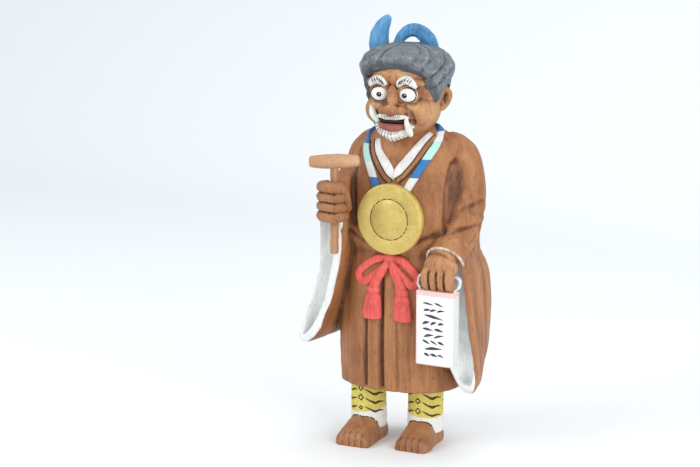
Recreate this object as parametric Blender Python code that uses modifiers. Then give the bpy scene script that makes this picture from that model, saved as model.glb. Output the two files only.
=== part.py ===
"""Carved and painted wooden demon in a pilgrim monk's robe, standing on its own two feet.

The figure faces -Y, its left hand is on the +X side, and the floor is at z = 0.
The carving is drawn in units of 1/248 of the figure's height, so the pose and the proportions
keep together. What is set into the carving, such as the gong, the mallet and the horns, has
sizes of its own in metres, and the seats that hold it are cut from those same sizes.
"""

import math

import bmesh
import bpy
import numpy as np
from mathutils import Matrix, Vector

# Driving sizes in metres
FIGURE_HEIGHT = 0.248      # floor to the crown of the hair, horns not counted
CLEARANCE = 0.0003         # between any two pieces that touch
SLEEVE_WALL = 0.0019       # outer wall of a hollow sleeve
SLEEVE_RIM = 0.0062        # wide front rim of the right sleeve, on the body side
LEFT_SLEEVE_RIM = 0.0026   # the same rim on the left sleeve
SLEEVE_HOLLOW = 0.026      # how deep a sleeve is hollowed out from its mouth

GONG_DIAMETER = 0.043
GONG_THICKNESS = 0.0048
GONG_EDGE = 0.0009         # rounding of the gong's rim
GONG_RING = 0.577          # ring incised in its face, as a share of the diameter
GONG_RING_WIDTH = 0.0009
GONG_RING_DEPTH = 0.0006
GONG_SIDES = 40            # flats that its roundness is made of

HANDLE_SIDE = 0.0040       # square stick of the mallet
HANDLE_BELOW_FIST = 0.0200
HANDLE_ABOVE_FIST = 0.0110
MALLET_LENGTH = 0.030
MALLET_DIAMETER = 0.0086
MALLET_END_DIAMETER = 0.0064
MALLET_SOCKET_DEPTH = 0.0042
MALLET_TURN = math.radians(35.0)   # its right end comes forward round the stick

BOOK_WIDTH = 0.0242
BOOK_HEIGHT = 0.0455
BOOK_THICKNESS = 0.0095
BOOK_EDGE = 0.0007
LOOP_BAND = 0.0030         # band of the book's carrying loop, front to back
LOOP_THICKNESS = 0.0016

SHORT_HORN_WIDTH = 0.0126
CURLED_HORN_WIDTH = 0.0122
HORN_FLAT = 0.82           # a horn's depth as a share of its width

# Drawing unit of the carving
UNIT = FIGURE_HEIGHT / 248.0
CARVING_GRID = 0.8         # grid that the fused carving is read on
HEAD_GRID = 0.6            # and the finer one for the head and hands
ROBE_TRIANGLES = 2750      # fineness that each skin is brought down to
HEAD_TRIANGLES = 2350
HAND_TRIANGLES = 430
HOLLOW_TRIANGLES = 560
HEAD_CENTRE = Vector((0.0, -4.5, 218.0))
HEAD_TURN = math.radians(5.0)
RIGHT_HOLLOW = (68.0, 158.0)       # bottom and top of the hollow in each sleeve
LEFT_HOLLOW = (46.5, 129.0)
COLLAR_WIDTH = 5.2
PAST = 0.02                # how far a cutting tool runs past the face that it opens


def clear_scene():
    """Remove whatever the open file holds."""
    for thing in list(bpy.data.objects):
        bpy.data.objects.remove(thing, do_unlink=True)


def new_collection(name):
    group = bpy.data.collections.new(name)
    bpy.context.scene.collection.children.link(group)
    return group


def paint(name, colour, roughness, metallic=0.0):
    """One material for one sub-part."""
    material = bpy.data.materials.new(name)
    material.use_nodes = True
    shader = material.node_tree.nodes["Principled BSDF"]
    shader.inputs["Base Color"].default_value = (*colour, 1.0)
    shader.inputs["Roughness"].default_value = roughness
    shader.inputs["Metallic"].default_value = metallic
    return material


def finished(thing, material, group):
    """Put an object in its collection with its material, shaded smooth but for its edges."""
    for old in list(thing.users_collection):
        old.objects.unlink(thing)
    group.objects.link(thing)
    thing.data.materials.clear()
    thing.data.materials.append(material)
    thing.data.shade_smooth()
    thing.data.set_sharp_from_angle(angle=math.radians(40.0))
    return thing


def object_from(name, shape):
    """Object made from a bmesh, its faces turned outwards."""
    bmesh.ops.recalc_face_normals(shape, faces=shape.faces)
    mesh = bpy.data.meshes.new(name)
    shape.to_mesh(mesh)
    shape.free()
    thing = bpy.data.objects.new(name, mesh)
    bpy.context.scene.collection.objects.link(thing)
    return thing


def settled(thing):
    """Replace an object's mesh, or its curve, by what its modifiers make of it."""
    bpy.context.view_layer.update()
    shown = thing.evaluated_get(bpy.context.evaluated_depsgraph_get())
    mesh = bpy.data.meshes.new_from_object(shown)
    if thing.type == "MESH":
        thing.modifiers.clear()
        thing.data = mesh
        return thing
    solid = bpy.data.objects.new(thing.name + "_solid", mesh)
    bpy.context.scene.collection.objects.link(solid)
    solid.matrix_world = thing.matrix_world
    shape = bmesh.new()
    shape.from_mesh(mesh)
    bmesh.ops.remove_doubles(shape, verts=shape.verts, dist=0.00001)
    bmesh.ops.recalc_face_normals(shape, faces=shape.faces)
    shape.to_mesh(mesh)
    shape.free()
    bpy.data.objects.remove(thing, do_unlink=True)
    return solid


def loft(name, rings):
    """Closed skin through rings of points that all have the same count, drawn in units."""
    shape = bmesh.new()
    loops = [[shape.verts.new(Vector(point) * UNIT) for point in ring] for ring in rings]
    for lower, upper in zip(loops, loops[1:]):
        for i in range(len(lower)):
            j = (i + 1) % len(lower)
            shape.faces.new((lower[i], lower[j], upper[j], upper[i]))
    shape.faces.new(loops[0][::-1])
    shape.faces.new(loops[-1])
    return object_from(name, shape)


def ball(name, centre, radii, turn=(0.0, 0.0, 0.0), fine=20):
    """Ellipsoid drawn in units, turned by three angles in degrees."""
    shape = bmesh.new()
    bmesh.ops.create_uvsphere(shape, u_segments=fine, v_segments=fine // 2 + 2, radius=1.0)
    spin = Matrix.Identity(3)
    for axis, angle in zip("XYZ", turn):
        spin = Matrix.Rotation(math.radians(angle), 3, axis) @ spin
    for vert in shape.verts:
        stretched = Vector((vert.co.x * radii[0], vert.co.y * radii[1], vert.co.z * radii[2]))
        vert.co = (spin @ stretched + Vector(centre)) * UNIT
    return object_from(name, shape)


def smooth_path(points, steps=6):
    """Points on a smooth curve through the given ones, each point any number of values."""
    rows = [np.array(point, float) for point in points]
    rows = [2 * rows[0] - rows[1]] + rows + [2 * rows[-1] - rows[-2]]
    path = []
    for a, b, c, d in zip(rows, rows[1:], rows[2:], rows[3:]):
        for step in range(steps):
            t = step / steps
            path.append(0.5 * (2 * b + (c - a) * t + (2 * a - 5 * b + 4 * c - d) * t ** 2
                               + (3 * b - a - 3 * c + d) * t ** 3))
    path.append(rows[-2])
    return path


def limb(name, stations, steps=5, sides=3, flat=1.0):
    """Round tapering bar along stations of x, y, z and radius, drawn in units."""
    path = smooth_path(stations, steps)
    curve = bpy.data.curves.new(name, "CURVE")
    curve.dimensions = "3D"
    curve.bevel_depth = UNIT
    curve.bevel_resolution = sides
    curve.use_fill_caps = True
    spline = curve.splines.new("POLY")
    spline.points.add(len(path) - 1)
    for point, station in zip(spline.points, path):
        point.co = (*(Vector(station[:3]) * UNIT), 1.0)
        point.radius = station[3]
    bar = bpy.data.objects.new(name, curve)
    bpy.context.scene.collection.objects.link(bar)
    bar = settled(bar)
    if flat != 1.0:
        middle = sum((v.co.y for v in bar.data.vertices)) / len(bar.data.vertices)
        for vert in bar.data.vertices:
            vert.co.y = middle + (vert.co.y - middle) * flat
    return bar


def along(stations, at):
    """Smooth values of a row of stations at a height, which is each station's first number."""
    rows = np.array(stations, float)
    keys = rows[:, 0]
    slopes = np.gradient(rows[:, 1:], keys, axis=0)
    i = int(np.clip(np.searchsorted(keys, at) - 1, 0, len(keys) - 2))
    span = keys[i + 1] - keys[i]
    t = min(max((at - keys[i]) / span, 0.0), 1.0)
    start = (2 * t ** 3 - 3 * t ** 2 + 1) * rows[i, 1:] + (t ** 3 - 2 * t ** 2 + t) * span * slopes[i]
    end = (3 * t ** 2 - 2 * t ** 3) * rows[i + 1, 1:] + (t ** 3 - t ** 2) * span * slopes[i + 1]
    return start + end


def union_of(name, parts, voxel):
    """One skin round overlapping shapes, on a grid of the given size in units."""
    whole = bmesh.new()
    for part in parts:
        shape = bmesh.new()
        shape.from_mesh(part.data)
        shape.transform(part.matrix_world)
        loose = bpy.data.meshes.new("loose")
        shape.to_mesh(loose)
        shape.free()
        whole.from_mesh(loose)
        bpy.data.meshes.remove(loose)
        bpy.data.objects.remove(part, do_unlink=True)
    mesh = bpy.data.meshes.new(name)
    whole.to_mesh(mesh)
    whole.free()
    block = bpy.data.objects.new(name, mesh)
    bpy.context.scene.collection.objects.link(block)
    remesh = block.modifiers.new("one skin", "REMESH")
    remesh.mode = "VOXEL"
    remesh.voxel_size = voxel * UNIT
    remesh.adaptivity = 0.0
    return settled(block)


def eased(thing, factor=0.5, rounds=2):
    """Soften the steps that the grid leaves."""
    smooth = thing.modifiers.new("soften", "SMOOTH")
    smooth.factor = factor
    smooth.iterations = rounds
    return settled(thing)


def lightened(thing, triangles):
    """Bring a skin down to about so many triangles, keeping its form."""
    thing.data.calc_loop_triangles()
    share = triangles / max(len(thing.data.loop_triangles), 1)
    if share < 1.0:
        decimate = thing.modifiers.new("fewer faces", "DECIMATE")
        decimate.ratio = share
        decimate.use_collapse_triangulate = True
        settled(thing)
    return thing


def read_points(thing):
    """Coordinates and normals of an object's points, the coordinates in units."""
    count = len(thing.data.vertices)
    coords = np.empty(count * 3)
    normals = np.empty(count * 3)
    thing.data.vertices.foreach_get("co", coords)
    thing.data.vertex_normals.foreach_get("vector", normals)
    return coords.reshape(-1, 3) / UNIT, normals.reshape(-1, 3)


def write_points(thing, coords):
    thing.data.vertices.foreach_set("co", (coords * UNIT).ravel())
    thing.data.update()


def distance_to_path(flat_coords, path):
    """Distance of flat points to a line of flat points."""
    nearest = np.full(len(flat_coords), 1e9)
    for start, end in zip(path, path[1:]):
        start, end = np.array(start, float), np.array(end, float)
        run = end - start
        share = np.clip(((flat_coords - start) @ run) / max(run @ run, 1e-9), 0.0, 1.0)
        gap = np.linalg.norm(flat_coords - start - share[:, None] * run, axis=1)
        nearest = np.minimum(nearest, gap)
    return nearest


def groove(coords, normals, path, width, depth, plane="xz", facing=(0.0, -1.0, 0.0)):
    """Press a V groove along a path seen from one side: front by default."""
    columns = ["xyz".index(letter) for letter in plane]
    gap = distance_to_path(coords[:, columns], path)
    towards = np.clip(normals @ np.array(facing) * 1.6, 0.0, 1.0)
    cut = np.clip(1.0 - gap / width, 0.0, 1.0) * towards * depth
    return coords - normals * cut[:, None]


def press(coords, centre, radii, push):
    """Move the points near a centre by a push that fades away from it."""
    share = (coords - np.array(centre, float)) / np.array(radii, float)
    fade = np.exp(-(share ** 2).sum(axis=1))
    return coords + fade[:, None] * np.array(push, float)


def at_head(point):
    """Point given beside the head's own axis, facing front, carried to where the head turns."""
    x, y, z = point
    turned = Matrix.Rotation(HEAD_TURN, 3, "Z") @ Vector((x, y, 0.0))
    return Vector((HEAD_CENTRE.x + turned.x, HEAD_CENTRE.y + turned.y, z))


def combine(target, other, operation, solver="EXACT"):
    """Boolean of two solids, whose second one is used up.

    The deep folds of the carving cross themselves here and there, which the exact solver
    can't follow, so those steps name the other one.
    """
    boolean = target.modifiers.new("combine", "BOOLEAN")
    boolean.operation = operation
    boolean.solver = solver
    boolean.object = other
    settled(target)
    bpy.data.objects.remove(other, do_unlink=True)
    return target


def cut_by(target, tool, tools):
    """Leave an exact cut on the target, and keep its tool as a wire in the cutters."""
    for old in list(tool.users_collection):
        old.objects.unlink(tool)
    tools.objects.link(tool)
    tool.hide_render = True
    tool.display_type = "WIRE"
    boolean = target.modifiers.new(tool.name, "BOOLEAN")
    boolean.operation = "DIFFERENCE"
    boolean.object = tool


# Robe, as level sections: height, middle across, middle in depth, half-width,
# depth in front, depth behind, squareness
ROBE = [
    (37.2, -5, 0, 38.8, 28.6, 26.5, 2.3),
    (48, -5, 0, 39.6, 29, 27, 2.3),
    (70, -5, 0, 40, 29.5, 27.5, 2.3),
    (95, -4, 0, 39.5, 29, 27.5, 2.3),
    (115, -3, 0, 38.5, 28, 27, 2.4),
    (124, -2, 0, 37.5, 27, 26.5, 2.6),
    (129, -1.5, 0, 38.2, 29.2, 27.5, 2.9),
    (140, -0.5, 0, 38.6, 30, 28, 3.3),
    (155, 0, 0, 38.4, 29, 28, 3.4),
    (170, 0, 0, 37.6, 26.5, 27, 3.1),
    (180, 0, 0, 35.5, 23.5, 25, 2.5),
    (188, 0, -1, 30, 20.5, 21, 2.3),
    (194, 0, -2, 22.5, 17, 16.5, 2.1),
    (199, 0, -3, 15.5, 14, 12, 2.0),
]

# Pleats of the skirt: place across, top, depth of the groove, half-width of the groove
PLEATS = [
    (-41, 120, 1.6, 3.2),
    (-31, 112, 1.5, 3.0),
    (-23, 104, 0.9, 3.0),
    (-15.3, 98, 2.2, 2.8),
    (-4.5, 116, 2.8, 3.2),
    (6.0, 90, 1.3, 2.6),
    (13.0, 84, 1.2, 2.4),
    (21.5, 78, 1.1, 2.8),
    (29.0, 84, 1.3, 3.0),
]


def robe_ring(height, inset=0.0, count=72):
    """Level section of the robe at a height."""
    cx, cy, half, front, back, power = along(ROBE, height)
    ring = []
    for i in range(count):
        angle = 2 * math.pi * i / count
        c, s = math.cos(angle), math.sin(angle)
        x = math.copysign(abs(c) ** (2 / power), c) * (half - inset)
        depth = (back if s > 0 else front) - inset
        y = math.copysign(abs(s) ** (2 / power), s) * depth
        ring.append((cx + x, cy + y, height))
    return ring


def robe_front(x, height):
    """Depth of the robe's front skin at a place across and a height."""
    cx, cy, half, front, _, power = along(ROBE, height)
    share = min(abs(x - cx) / half, 0.999)
    return cy - front * (1 - share ** power) ** (1 / power)


# Sleeve bags, as level sections: height, outer side at the front and the back,
# body side at the front and the back, front, back
RIGHT_SLEEVE = [
    (62.3, -58.6, -53.5, -56.4, -50.5, -32, 5),
    (63.6, -60.2, -54.3, -53.0, -47.5, -35.2, 8),
    (66.5, -61.0, -54.8, -48.6, -45, -35.9, 9.5),
    (71, -60.4, -54.5, -44.6, -42, -36.3, 10.5),
    (80, -57.2, -52.3, -39.6, -38.5, -36.8, 11),
    (92, -52.6, -49.5, -34.6, -35, -37.5, 11),
    (105, -48.2, -47, -30.8, -32, -38, 11),
    (118, -46.0, -45.3, -27.6, -30, -38.3, 11),
    (141, -45.3, -43.2, -25.6, -28, -38.6, 10),
    (156, -43.4, -40.6, -25.2, -26, -36, 9),
    (168, -40, -38, -25.5, -26, -27, 7),
    (176, -37, -36, -25.5, -26, -14, 4),
]
LEFT_SLEEVE = [
    (38.6, 48.5, 45.0, 45.5, 40, -14, 4),
    (40.2, 51.5, 45.4, 47.2, 37, -19, 7),
    (43, 55.2, 45.8, 46.4, 35, -24, 9),
    (47, 57.3, 46, 43, 33.3, -25.2, 10.5),
    (53, 57.6, 46.4, 38.6, 31.5, -25.7, 12.5),
    (61, 56.4, 47.2, 34.6, 30, -26.3, 17),
    (78, 53.3, 48.4, 30.5, 29, -27.3, 20),
    (97, 50.9, 48.8, 27.6, 29, -28.3, 20.6),
    (115, 49.2, 46.4, 25.8, 28, -29, 18),
    (123, 48.0, 43.2, 25.6, 28, -29.2, 15),
    (129, 45.6, 42.6, 28, 28, -27, 14),
    (138, 45.0, 43.6, 28.5, 28, -20, 13.5),
    (150, 44.2, 44.2, 30.5, 30, -9, 12.5),
]


# How much of a bag's rounded front edge is cut flat, in units
FRONT_FLAT = 1.6


def sleeve_ring(stations, height, walls=(0.0, 0.0), mouth=0.0, depth=None, count=40):
    """Level section of a sleeve bag, drawn in by its walls; a mouth carries it on forwards."""
    out_front, out_back, in_front, in_back, front, back = along(stations, height)
    side = math.copysign(1.0, out_front)
    outer, inner = walls
    run = back - front
    if depth is not None:
        back = front + depth
    ring = []
    for i in range(count):
        angle = 2 * math.pi * i / count
        c, s = math.cos(angle), math.sin(angle)
        across = math.copysign(abs(c) ** 0.55, c)
        deep = math.copysign(abs(s) ** 0.55, s)
        y = front + (back - front) * (deep + 1) / 2
        if deep < 0:
            y = max(y, front + FRONT_FLAT) - mouth * min(1.0, -deep * 1.4)
        share = min(max((y - front) / run, -0.3), 1.0)
        x_outer = out_front + (out_back - out_front) * share - side * outer
        x_inner = in_front + (in_back - in_front) * share + side * inner
        x = (x_outer + x_inner) / 2 + (x_outer - x_inner) / 2 * across
        ring.append((x, y, height))
    return ring


def sleeve_bag(name, stations, levels=26):
    heights = np.linspace(stations[0][0], stations[-1][0], levels)
    low = [stations[0][0], (stations[0][0] + stations[1][0]) / 2, stations[1][0], stations[2][0]]
    heights = sorted(set([round(float(h), 3) for h in heights if h > low[-1] + 0.6] + low))
    return loft(name, [sleeve_ring(stations, h) for h in heights])


def sleeve_hollow(name, stations, rim, bottom, top, levels=14):
    """Tool that hollows a sleeve out from its front."""
    walls = (SLEEVE_WALL / UNIT, rim / UNIT)
    depth = SLEEVE_HOLLOW / UNIT
    heights = np.linspace(bottom, top, levels)
    rings = []
    for height in heights:
        share = (height - bottom) / (top - bottom)
        round_off = max(0.0, 1.0 - share * 7.0) * 2.2 + max(0.0, 1.0 - (1.0 - share) * 9.0) * 2.0
        drawn = (walls[0] + round_off, walls[1] + round_off)
        rings.append(sleeve_ring(stations, float(height), drawn, mouth=8.0, depth=depth, count=28))
    return lightened(union_of(name, [loft(name, rings)], 0.9), HOLLOW_TRIANGLES)


def torso_and_sleeves():
    hem, top = ROBE[0][0], ROBE[-1][0]
    heights = [hem, hem + 0.8] + list(np.linspace(hem + 3.0, top, 44))
    rings = [robe_ring(h, inset=1.2 if h == hem else 0.0) for h in heights]
    robe = loft("robe", rings)
    right_bag = sleeve_bag("right bag", RIGHT_SLEEVE)
    left_bag = sleeve_bag("left bag", LEFT_SLEEVE)
    right_arm = limb("right arm", [(-20, 1, 187, 10), (-28.5, 2, 178, 12.5), (-33.5, 3, 163, 11.5),
                                   (-36, 0, 149, 10.6), (-36, -12, 146, 9.2), (-34, -28, 150, 8)])
    left_arm = limb("left arm", [(20, 2, 189, 9), (29, 3, 180, 13.5), (34.5, 4, 166, 12.2),
                                 (36.5, 3, 150, 11), (37, -4, 139, 10.8), (36.6, -15, 131, 11.2),
                                 (36.3, -26.5, 122.5, 11.4)])
    neck = limb("neck", [(0, -4, 180, 13), (0, -5, 190, 12.5), (0, -5, 204, 12.5)], steps=3)
    block = union_of("body", [robe, right_bag, left_bag, right_arm, left_arm, neck], 1.0)
    return carve_cloth(eased(block, 0.5, 2))


def carve_cloth(block):
    """Folds of the robe: pleats of the skirt, hollow of the armpit, creases at elbow and waist."""
    coords, normals = read_points(block)
    hem = ROBE[0][0]
    for place, top, depth, width in PLEATS:
        sway = 0.06 * (place + 5)
        path = [(place - sway * 0.5, top), (place, 60), (place + sway * 0.5, hem - 3)]
        fade = np.clip((top - coords[:, 2]) / 16.0, 0.0, 1.0)
        before = coords.copy()
        pressed = groove(coords, normals, path, width, depth)
        coords = before + (pressed - before) * fade[:, None]
        behind = groove(coords, normals, path, width * 1.2, depth * 0.8, facing=(0.0, 1.0, 0.0))
        coords = coords + (behind - coords) * fade[:, None]
    folds = [
        # left armpit, a long deep recess beside the chest
        ([(33, 188), (37.4, 178), (39.8, 166), (39.4, 152), (37, 139)], 4.0, 5.4),
        # elbow creases of the left sleeve
        ([(37.5, 148), (43, 154.5), (50, 157)], 2.4, 2.2),
        ([(36.5, 137), (41, 142), (48, 144.5)], 2.2, 1.9),
        # blouse of the robe over the waist, left and right
        ([(14, 129), (22, 134.5), (30, 138), (36, 141)], 2.3, 2.0),
        ([(-12, 128), (-20, 131), (-28, 136)], 2.3, 1.7),
        # right front, beside the straps
        ([(-27, 184), (-26, 170), (-24.5, 154), (-23.5, 140)], 2.6, 2.4),
    ]
    for path, width, depth in folds:
        coords = groove(coords, normals, path, width, depth)
    # folds seen from behind: creases at both elbows and a centre seam hollow
    for path, width, depth in [
        ([(37, 128), (33, 142), (31, 160)], 3.0, 2.2),
        ([(-37, 128), (-33, 142), (-31, 160)], 3.0, 2.2),
        ([(0, 124), (0, 150), (0, 176)], 5.0, 1.2),
        ([(-26, 124), (-10, 121), (10, 121), (26, 124)], 3.0, 1.4),
    ]:
        coords = groove(coords, normals, path, width, depth, facing=(0.0, 1.0, 0.0))
    # folds of the hanging sleeves, seen from their outer sides
    for path, width, depth in [
        ([(-20, 118), (-14, 86), (-12, 52)], 3.4, 1.3),
        ([(2, 122), (2, 92), (0, 60)], 3.4, 1.1),
        ([(-8, 150), (2, 146), (12, 148)], 2.6, 1.6),
    ]:
        coords = groove(coords, normals, path, width, depth, plane="yz", facing=(1.0, 0.0, 0.0))
        coords = groove(coords, normals, path, width, depth, plane="yz", facing=(-1.0, 0.0, 0.0))
    write_points(block, coords)
    return block


def on_robe(x, z):
    """Point of the robe's front skin and the way it faces there."""
    slope_x = (robe_front(x + 1, z) - robe_front(x - 1, z)) / 2
    slope_z = (robe_front(x, z + 1) - robe_front(x, z - 1)) / 2
    return Vector((x, robe_front(x, z), z)), Vector((slope_x, -1.0, slope_z)).normalized()


def over_shoulder(x, y, z):
    """The same for a point of a strap's way from the chest to the nape."""
    point = Vector((x, y, z))
    return point, (point - NECK_ROOT).normalized()


def band(name, places, width, rise):
    """Flat band through points that each have a way to face, raised by its rise."""
    rings = []
    for i, (here, out) in enumerate(places):
        tangent = places[min(i + 1, len(places) - 1)][0] - places[max(i - 1, 0)][0]
        across = tangent.cross(out).normalized() * (width / 2)
        rings.append([here + across + out * rise, here - across + out * rise,
                      here - across - out * 2.4, here + across - out * 2.4])
    return loft(name, rings)


NECK_ROOT = Vector((0.0, -2.0, 180.0))
STRAP_WIDTH = 6.6
# The right and left straps on the chest, from the collar down to the gong
STRAPS = {
    -1: [(-20.6, 187), (-18.6, 181), (-14.2, 173.5), (-8.4, 163), (-4, 156)],
    1: [(21.2, 189), (18.6, 183), (14.6, 174), (9.6, 164), (5, 156)],
}
# From the middle of the nape over a shoulder, for the left side
SHOULDER_WAY = [(0, 12.8, 196.6), (8, 11.0, 197.2), (15, 6.0, 197.4), (20, -1.5, 196.2), (21.8, -9, 193)]


def strap_places(side):
    """Places along one strap, from the nape to the gong."""
    way = smooth_path([(side * x, y, z) for x, y, z in SHOULDER_WAY], 4)
    return [over_shoulder(*point) for point in way] + [
        on_robe(*point) for point in smooth_path(STRAPS[side], 4)]


COLLARS = {
    -1: [(-12.5, 193), (-11, 186), (-4.5, 179.5), (3.4, 171.5)],
    1: [(17, 197), (14, 190), (8.5, 181.5), (1.8, 172)],
}


def chest_bands():
    """Straps that carry the gong, and the white collar that crosses in a V."""
    bands = []
    for side in (-1, 1):
        bands.append(band("strap", strap_places(side), STRAP_WIDTH, 1.3))
        collar = [on_robe(*point) for point in smooth_path(COLLARS[side], 5)]
        bands.append(band("collar", collar, COLLAR_WIDTH, 1.1 + 0.2 * side))
    return bands


def bow():
    """Painted cord bow under the gong: two loops, two tails and two tassels."""
    knot_y = robe_front(0, 120.0) - 1.0
    pieces = [ball("knot", (0.8, knot_y, 121.2), (4.2, 2.8, 3.0))]
    for side, far, tail in ((-1, -21.0, -9.8), (1, 18.6, 8.6)):
        start = 0.8
        loop = [(start, 120.5), (start + (far - start) * 0.45, 119.2), (far - side * 2.2, 112.6),
                (far, 108.2), (far - side * 3.4, 105.6), (start + (far - start) * 0.55, 109.2),
                (start + side * 1.0, 118.6)]
        stations = [(x, robe_front(x, z) - 1.0, z, 1.9) for x, z in loop]
        pieces.append(limb("loop", stations, steps=5, sides=2))
        fall = [(start + side * 0.8, 119.5, 1.9), (start + (tail - start) * 0.72, 108, 2.4),
                (tail * 0.98, 102.4, 2.8)]
        stations = [(x, robe_front(x, z) - 1.0, z, radius) for x, z, radius in fall]
        pieces.append(limb("tail", stations, steps=4, sides=2))
        pieces.append(tassel(tail, 102.6, side))
    return pieces


def tassel(x, top, side):
    """Tassel with its collar, wider at its cut end."""
    profile = [(0.0, 3.4), (0.6, 3.9), (3.6, 4.1), (4.2, 3.7), (5.2, 4.8), (9, 5.5),
               (16, 6.1), (18.8, 6.2), (19.6, 5.2)]
    rings = []
    for down, half in profile:
        z = top - down
        drift = x + side * down * 0.06
        y = robe_front(drift, z) - 0.6
        rings.append([(drift + half * math.cos(a), y + half * 0.62 * math.sin(a), z)
                      for a in np.linspace(0, 2 * math.pi, 16, endpoint=False)])
    return loft("tassel", rings)


# Middle of each leg across and in depth, side its toes spread to, splay of the foot in degrees
LEGS = {
    "right leg": (-24.6, -7.0, -1.0, 3.0),
    "left leg": (11.6, -0.5, 1.0, 2.0),
}


def leg_and_foot(name, x, y, toe_shift, turn):
    """Legging tube and bare foot, the foot splayed by its turn, in degrees."""
    legging = limb("legging", [(x, y, 44, 11.2), (x, y, 34, 10.9), (x, y, 20, 10.9),
                               (x, y, 14, 11.3), (x, y, 8, 11.2)], steps=4, sides=5)
    spin = Matrix.Rotation(math.radians(turn), 3, "Z")
    # sections from heel to toes: distance forward, half-width, height, sideways shift
    steps = [(-12.5, 5.6, 6.5, 0), (-11, 8.6, 9.5, 0), (-5, 10.6, 12.5, 0), (2, 11.0, 15.2, 0),
             (9, 11.3, 15.2, 0.2), (13.5, 11.9, 12.8, 0.5), (18, 12.4, 10.0, 0.7), (22, 12.2, 7.8, 0.6),
             (24.4, 11.2, 6.0, 0.2), (25.4, 9.6, 4.0, 0.0)]
    rings = []
    for forward, half, height, shift in smooth_path(steps, 3):
        ring = []
        for i in range(28):
            angle = 2 * math.pi * i / 28
            c, s = math.cos(angle), math.sin(angle)
            wide = half * math.copysign(abs(c) ** 0.75, c) + shift * toe_shift
            tall = height * math.copysign(abs(s) ** 0.8, s) if s > 0 else 2.5 * s
            place = spin @ Vector((wide, -forward, 0.0))
            ring.append((x + place.x, y + place.y, tall + 1.0))
        rings.append(ring)
    foot = loft("foot", rings)
    block = union_of(name, [legging, foot], 0.9)
    coords, normals = read_points(block)
    # notches between the toes
    for i in range(4):
        across = -7.0 + 4.6 * i
        start = spin @ Vector((across * 0.9, -17.0, 0.0))
        end = spin @ Vector((across * 1.05, -28.0, 0.0))
        path = [(x + start.x, y + start.y), (x + end.x, y + end.y)]
        low = np.clip((13.0 - coords[:, 2]) / 3.0, 0.0, 1.0)
        before = coords.copy()
        pressed = groove(coords, normals, path, 1.1, 0.9, plane="xy", facing=(0.0, -0.6, 0.8))
        coords = before + (pressed - before) * low[:, None]
    write_points(block, coords)
    return block


def right_fist():
    """Closed fist round the mallet's stick: four stacked fingers and a thumb."""
    x, y = FIST
    pieces = [
        limb("wrist", [(-35.5, -22, 150, 8.0), (-33.5, -32, 151, 8.2), (-30.5, -39, 154, 8.6)]),
        ball("palm", (x, y + 1.5, 156), (7.8, 7.2, 12.0)),
    ]
    for level in range(4):
        z = 147.2 + 5.8 * level
        lean = 0.2 * level
        pieces.append(limb("finger", [
            (x - 6.4, y + 3.5, z, 2.8), (x - 7.0, y - 2.6, z, 3.1),
            (x - 3.4 + lean, y - 6.6, z + 0.2, 3.2), (x + 2.8, y - 6.8, z + 0.3, 3.1),
            (x + 6.2, y - 4.0, z + 0.2, 2.9), (x + 6.8, y + 1.0, z, 2.7)], steps=3, sides=3))
    pieces.append(limb("thumb", [(x + 6.4, y + 4.0, 151, 3.2), (x + 7.4, y - 0.6, 159, 3.3),
                                 (x + 6.4, y - 3.0, 166.2, 3.0)], steps=3, sides=3))
    return pieces


def left_hand():
    """Left hand hanging down, back to the front, its fingers over the book's loop."""
    x, y = HAND
    pieces = [
        limb("wrist", [(38.5, -16, 131, 9.0), (37, -23, 128, 8.6), (35.5, -29, 123.5, 8.2)]),
        ball("back of hand", (x, y + 1.0, 119.5), (10.8, 6.2, 8.4)),
    ]
    for i in range(4):
        across = -7.6 + 5.0 * i
        drop = (0.6, 0.0, 0.3, 1.6)[i]
        pieces.append(limb("finger", [
            (x + across * 0.9, y - 0.5, 119, 2.9), (x + across, y - 3.6, 115, 3.0),
            (x + across, y - 3.0, 109.4, 2.8), (x + across * 0.97, y - 1.0, 106.0 + drop, 2.6)],
            steps=3, sides=3))
    pieces.append(limb("thumb", [(x - 8.2, y + 3.0, 119, 3.2), (x - 9.6, y + 0.4, 113.5, 3.1),
                                 (x - 8.8, y + 0.6, 109.4, 2.7)], steps=3, sides=3))
    return pieces


FIST = (-28.9, -44.0)
HAND = (35.2, -31.0)


def head_ball(name, centre, radii, turn=(0, 0, 0), fine=20):
    lean = (turn[0], turn[1], turn[2] + math.degrees(HEAD_TURN))
    return ball(name, at_head(centre), radii, lean, fine)


def head_limb(name, stations, steps=4, sides=3):
    placed = [(*at_head(station[:3]), station[3]) for station in stations]
    return limb(name, placed, steps, sides)


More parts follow.
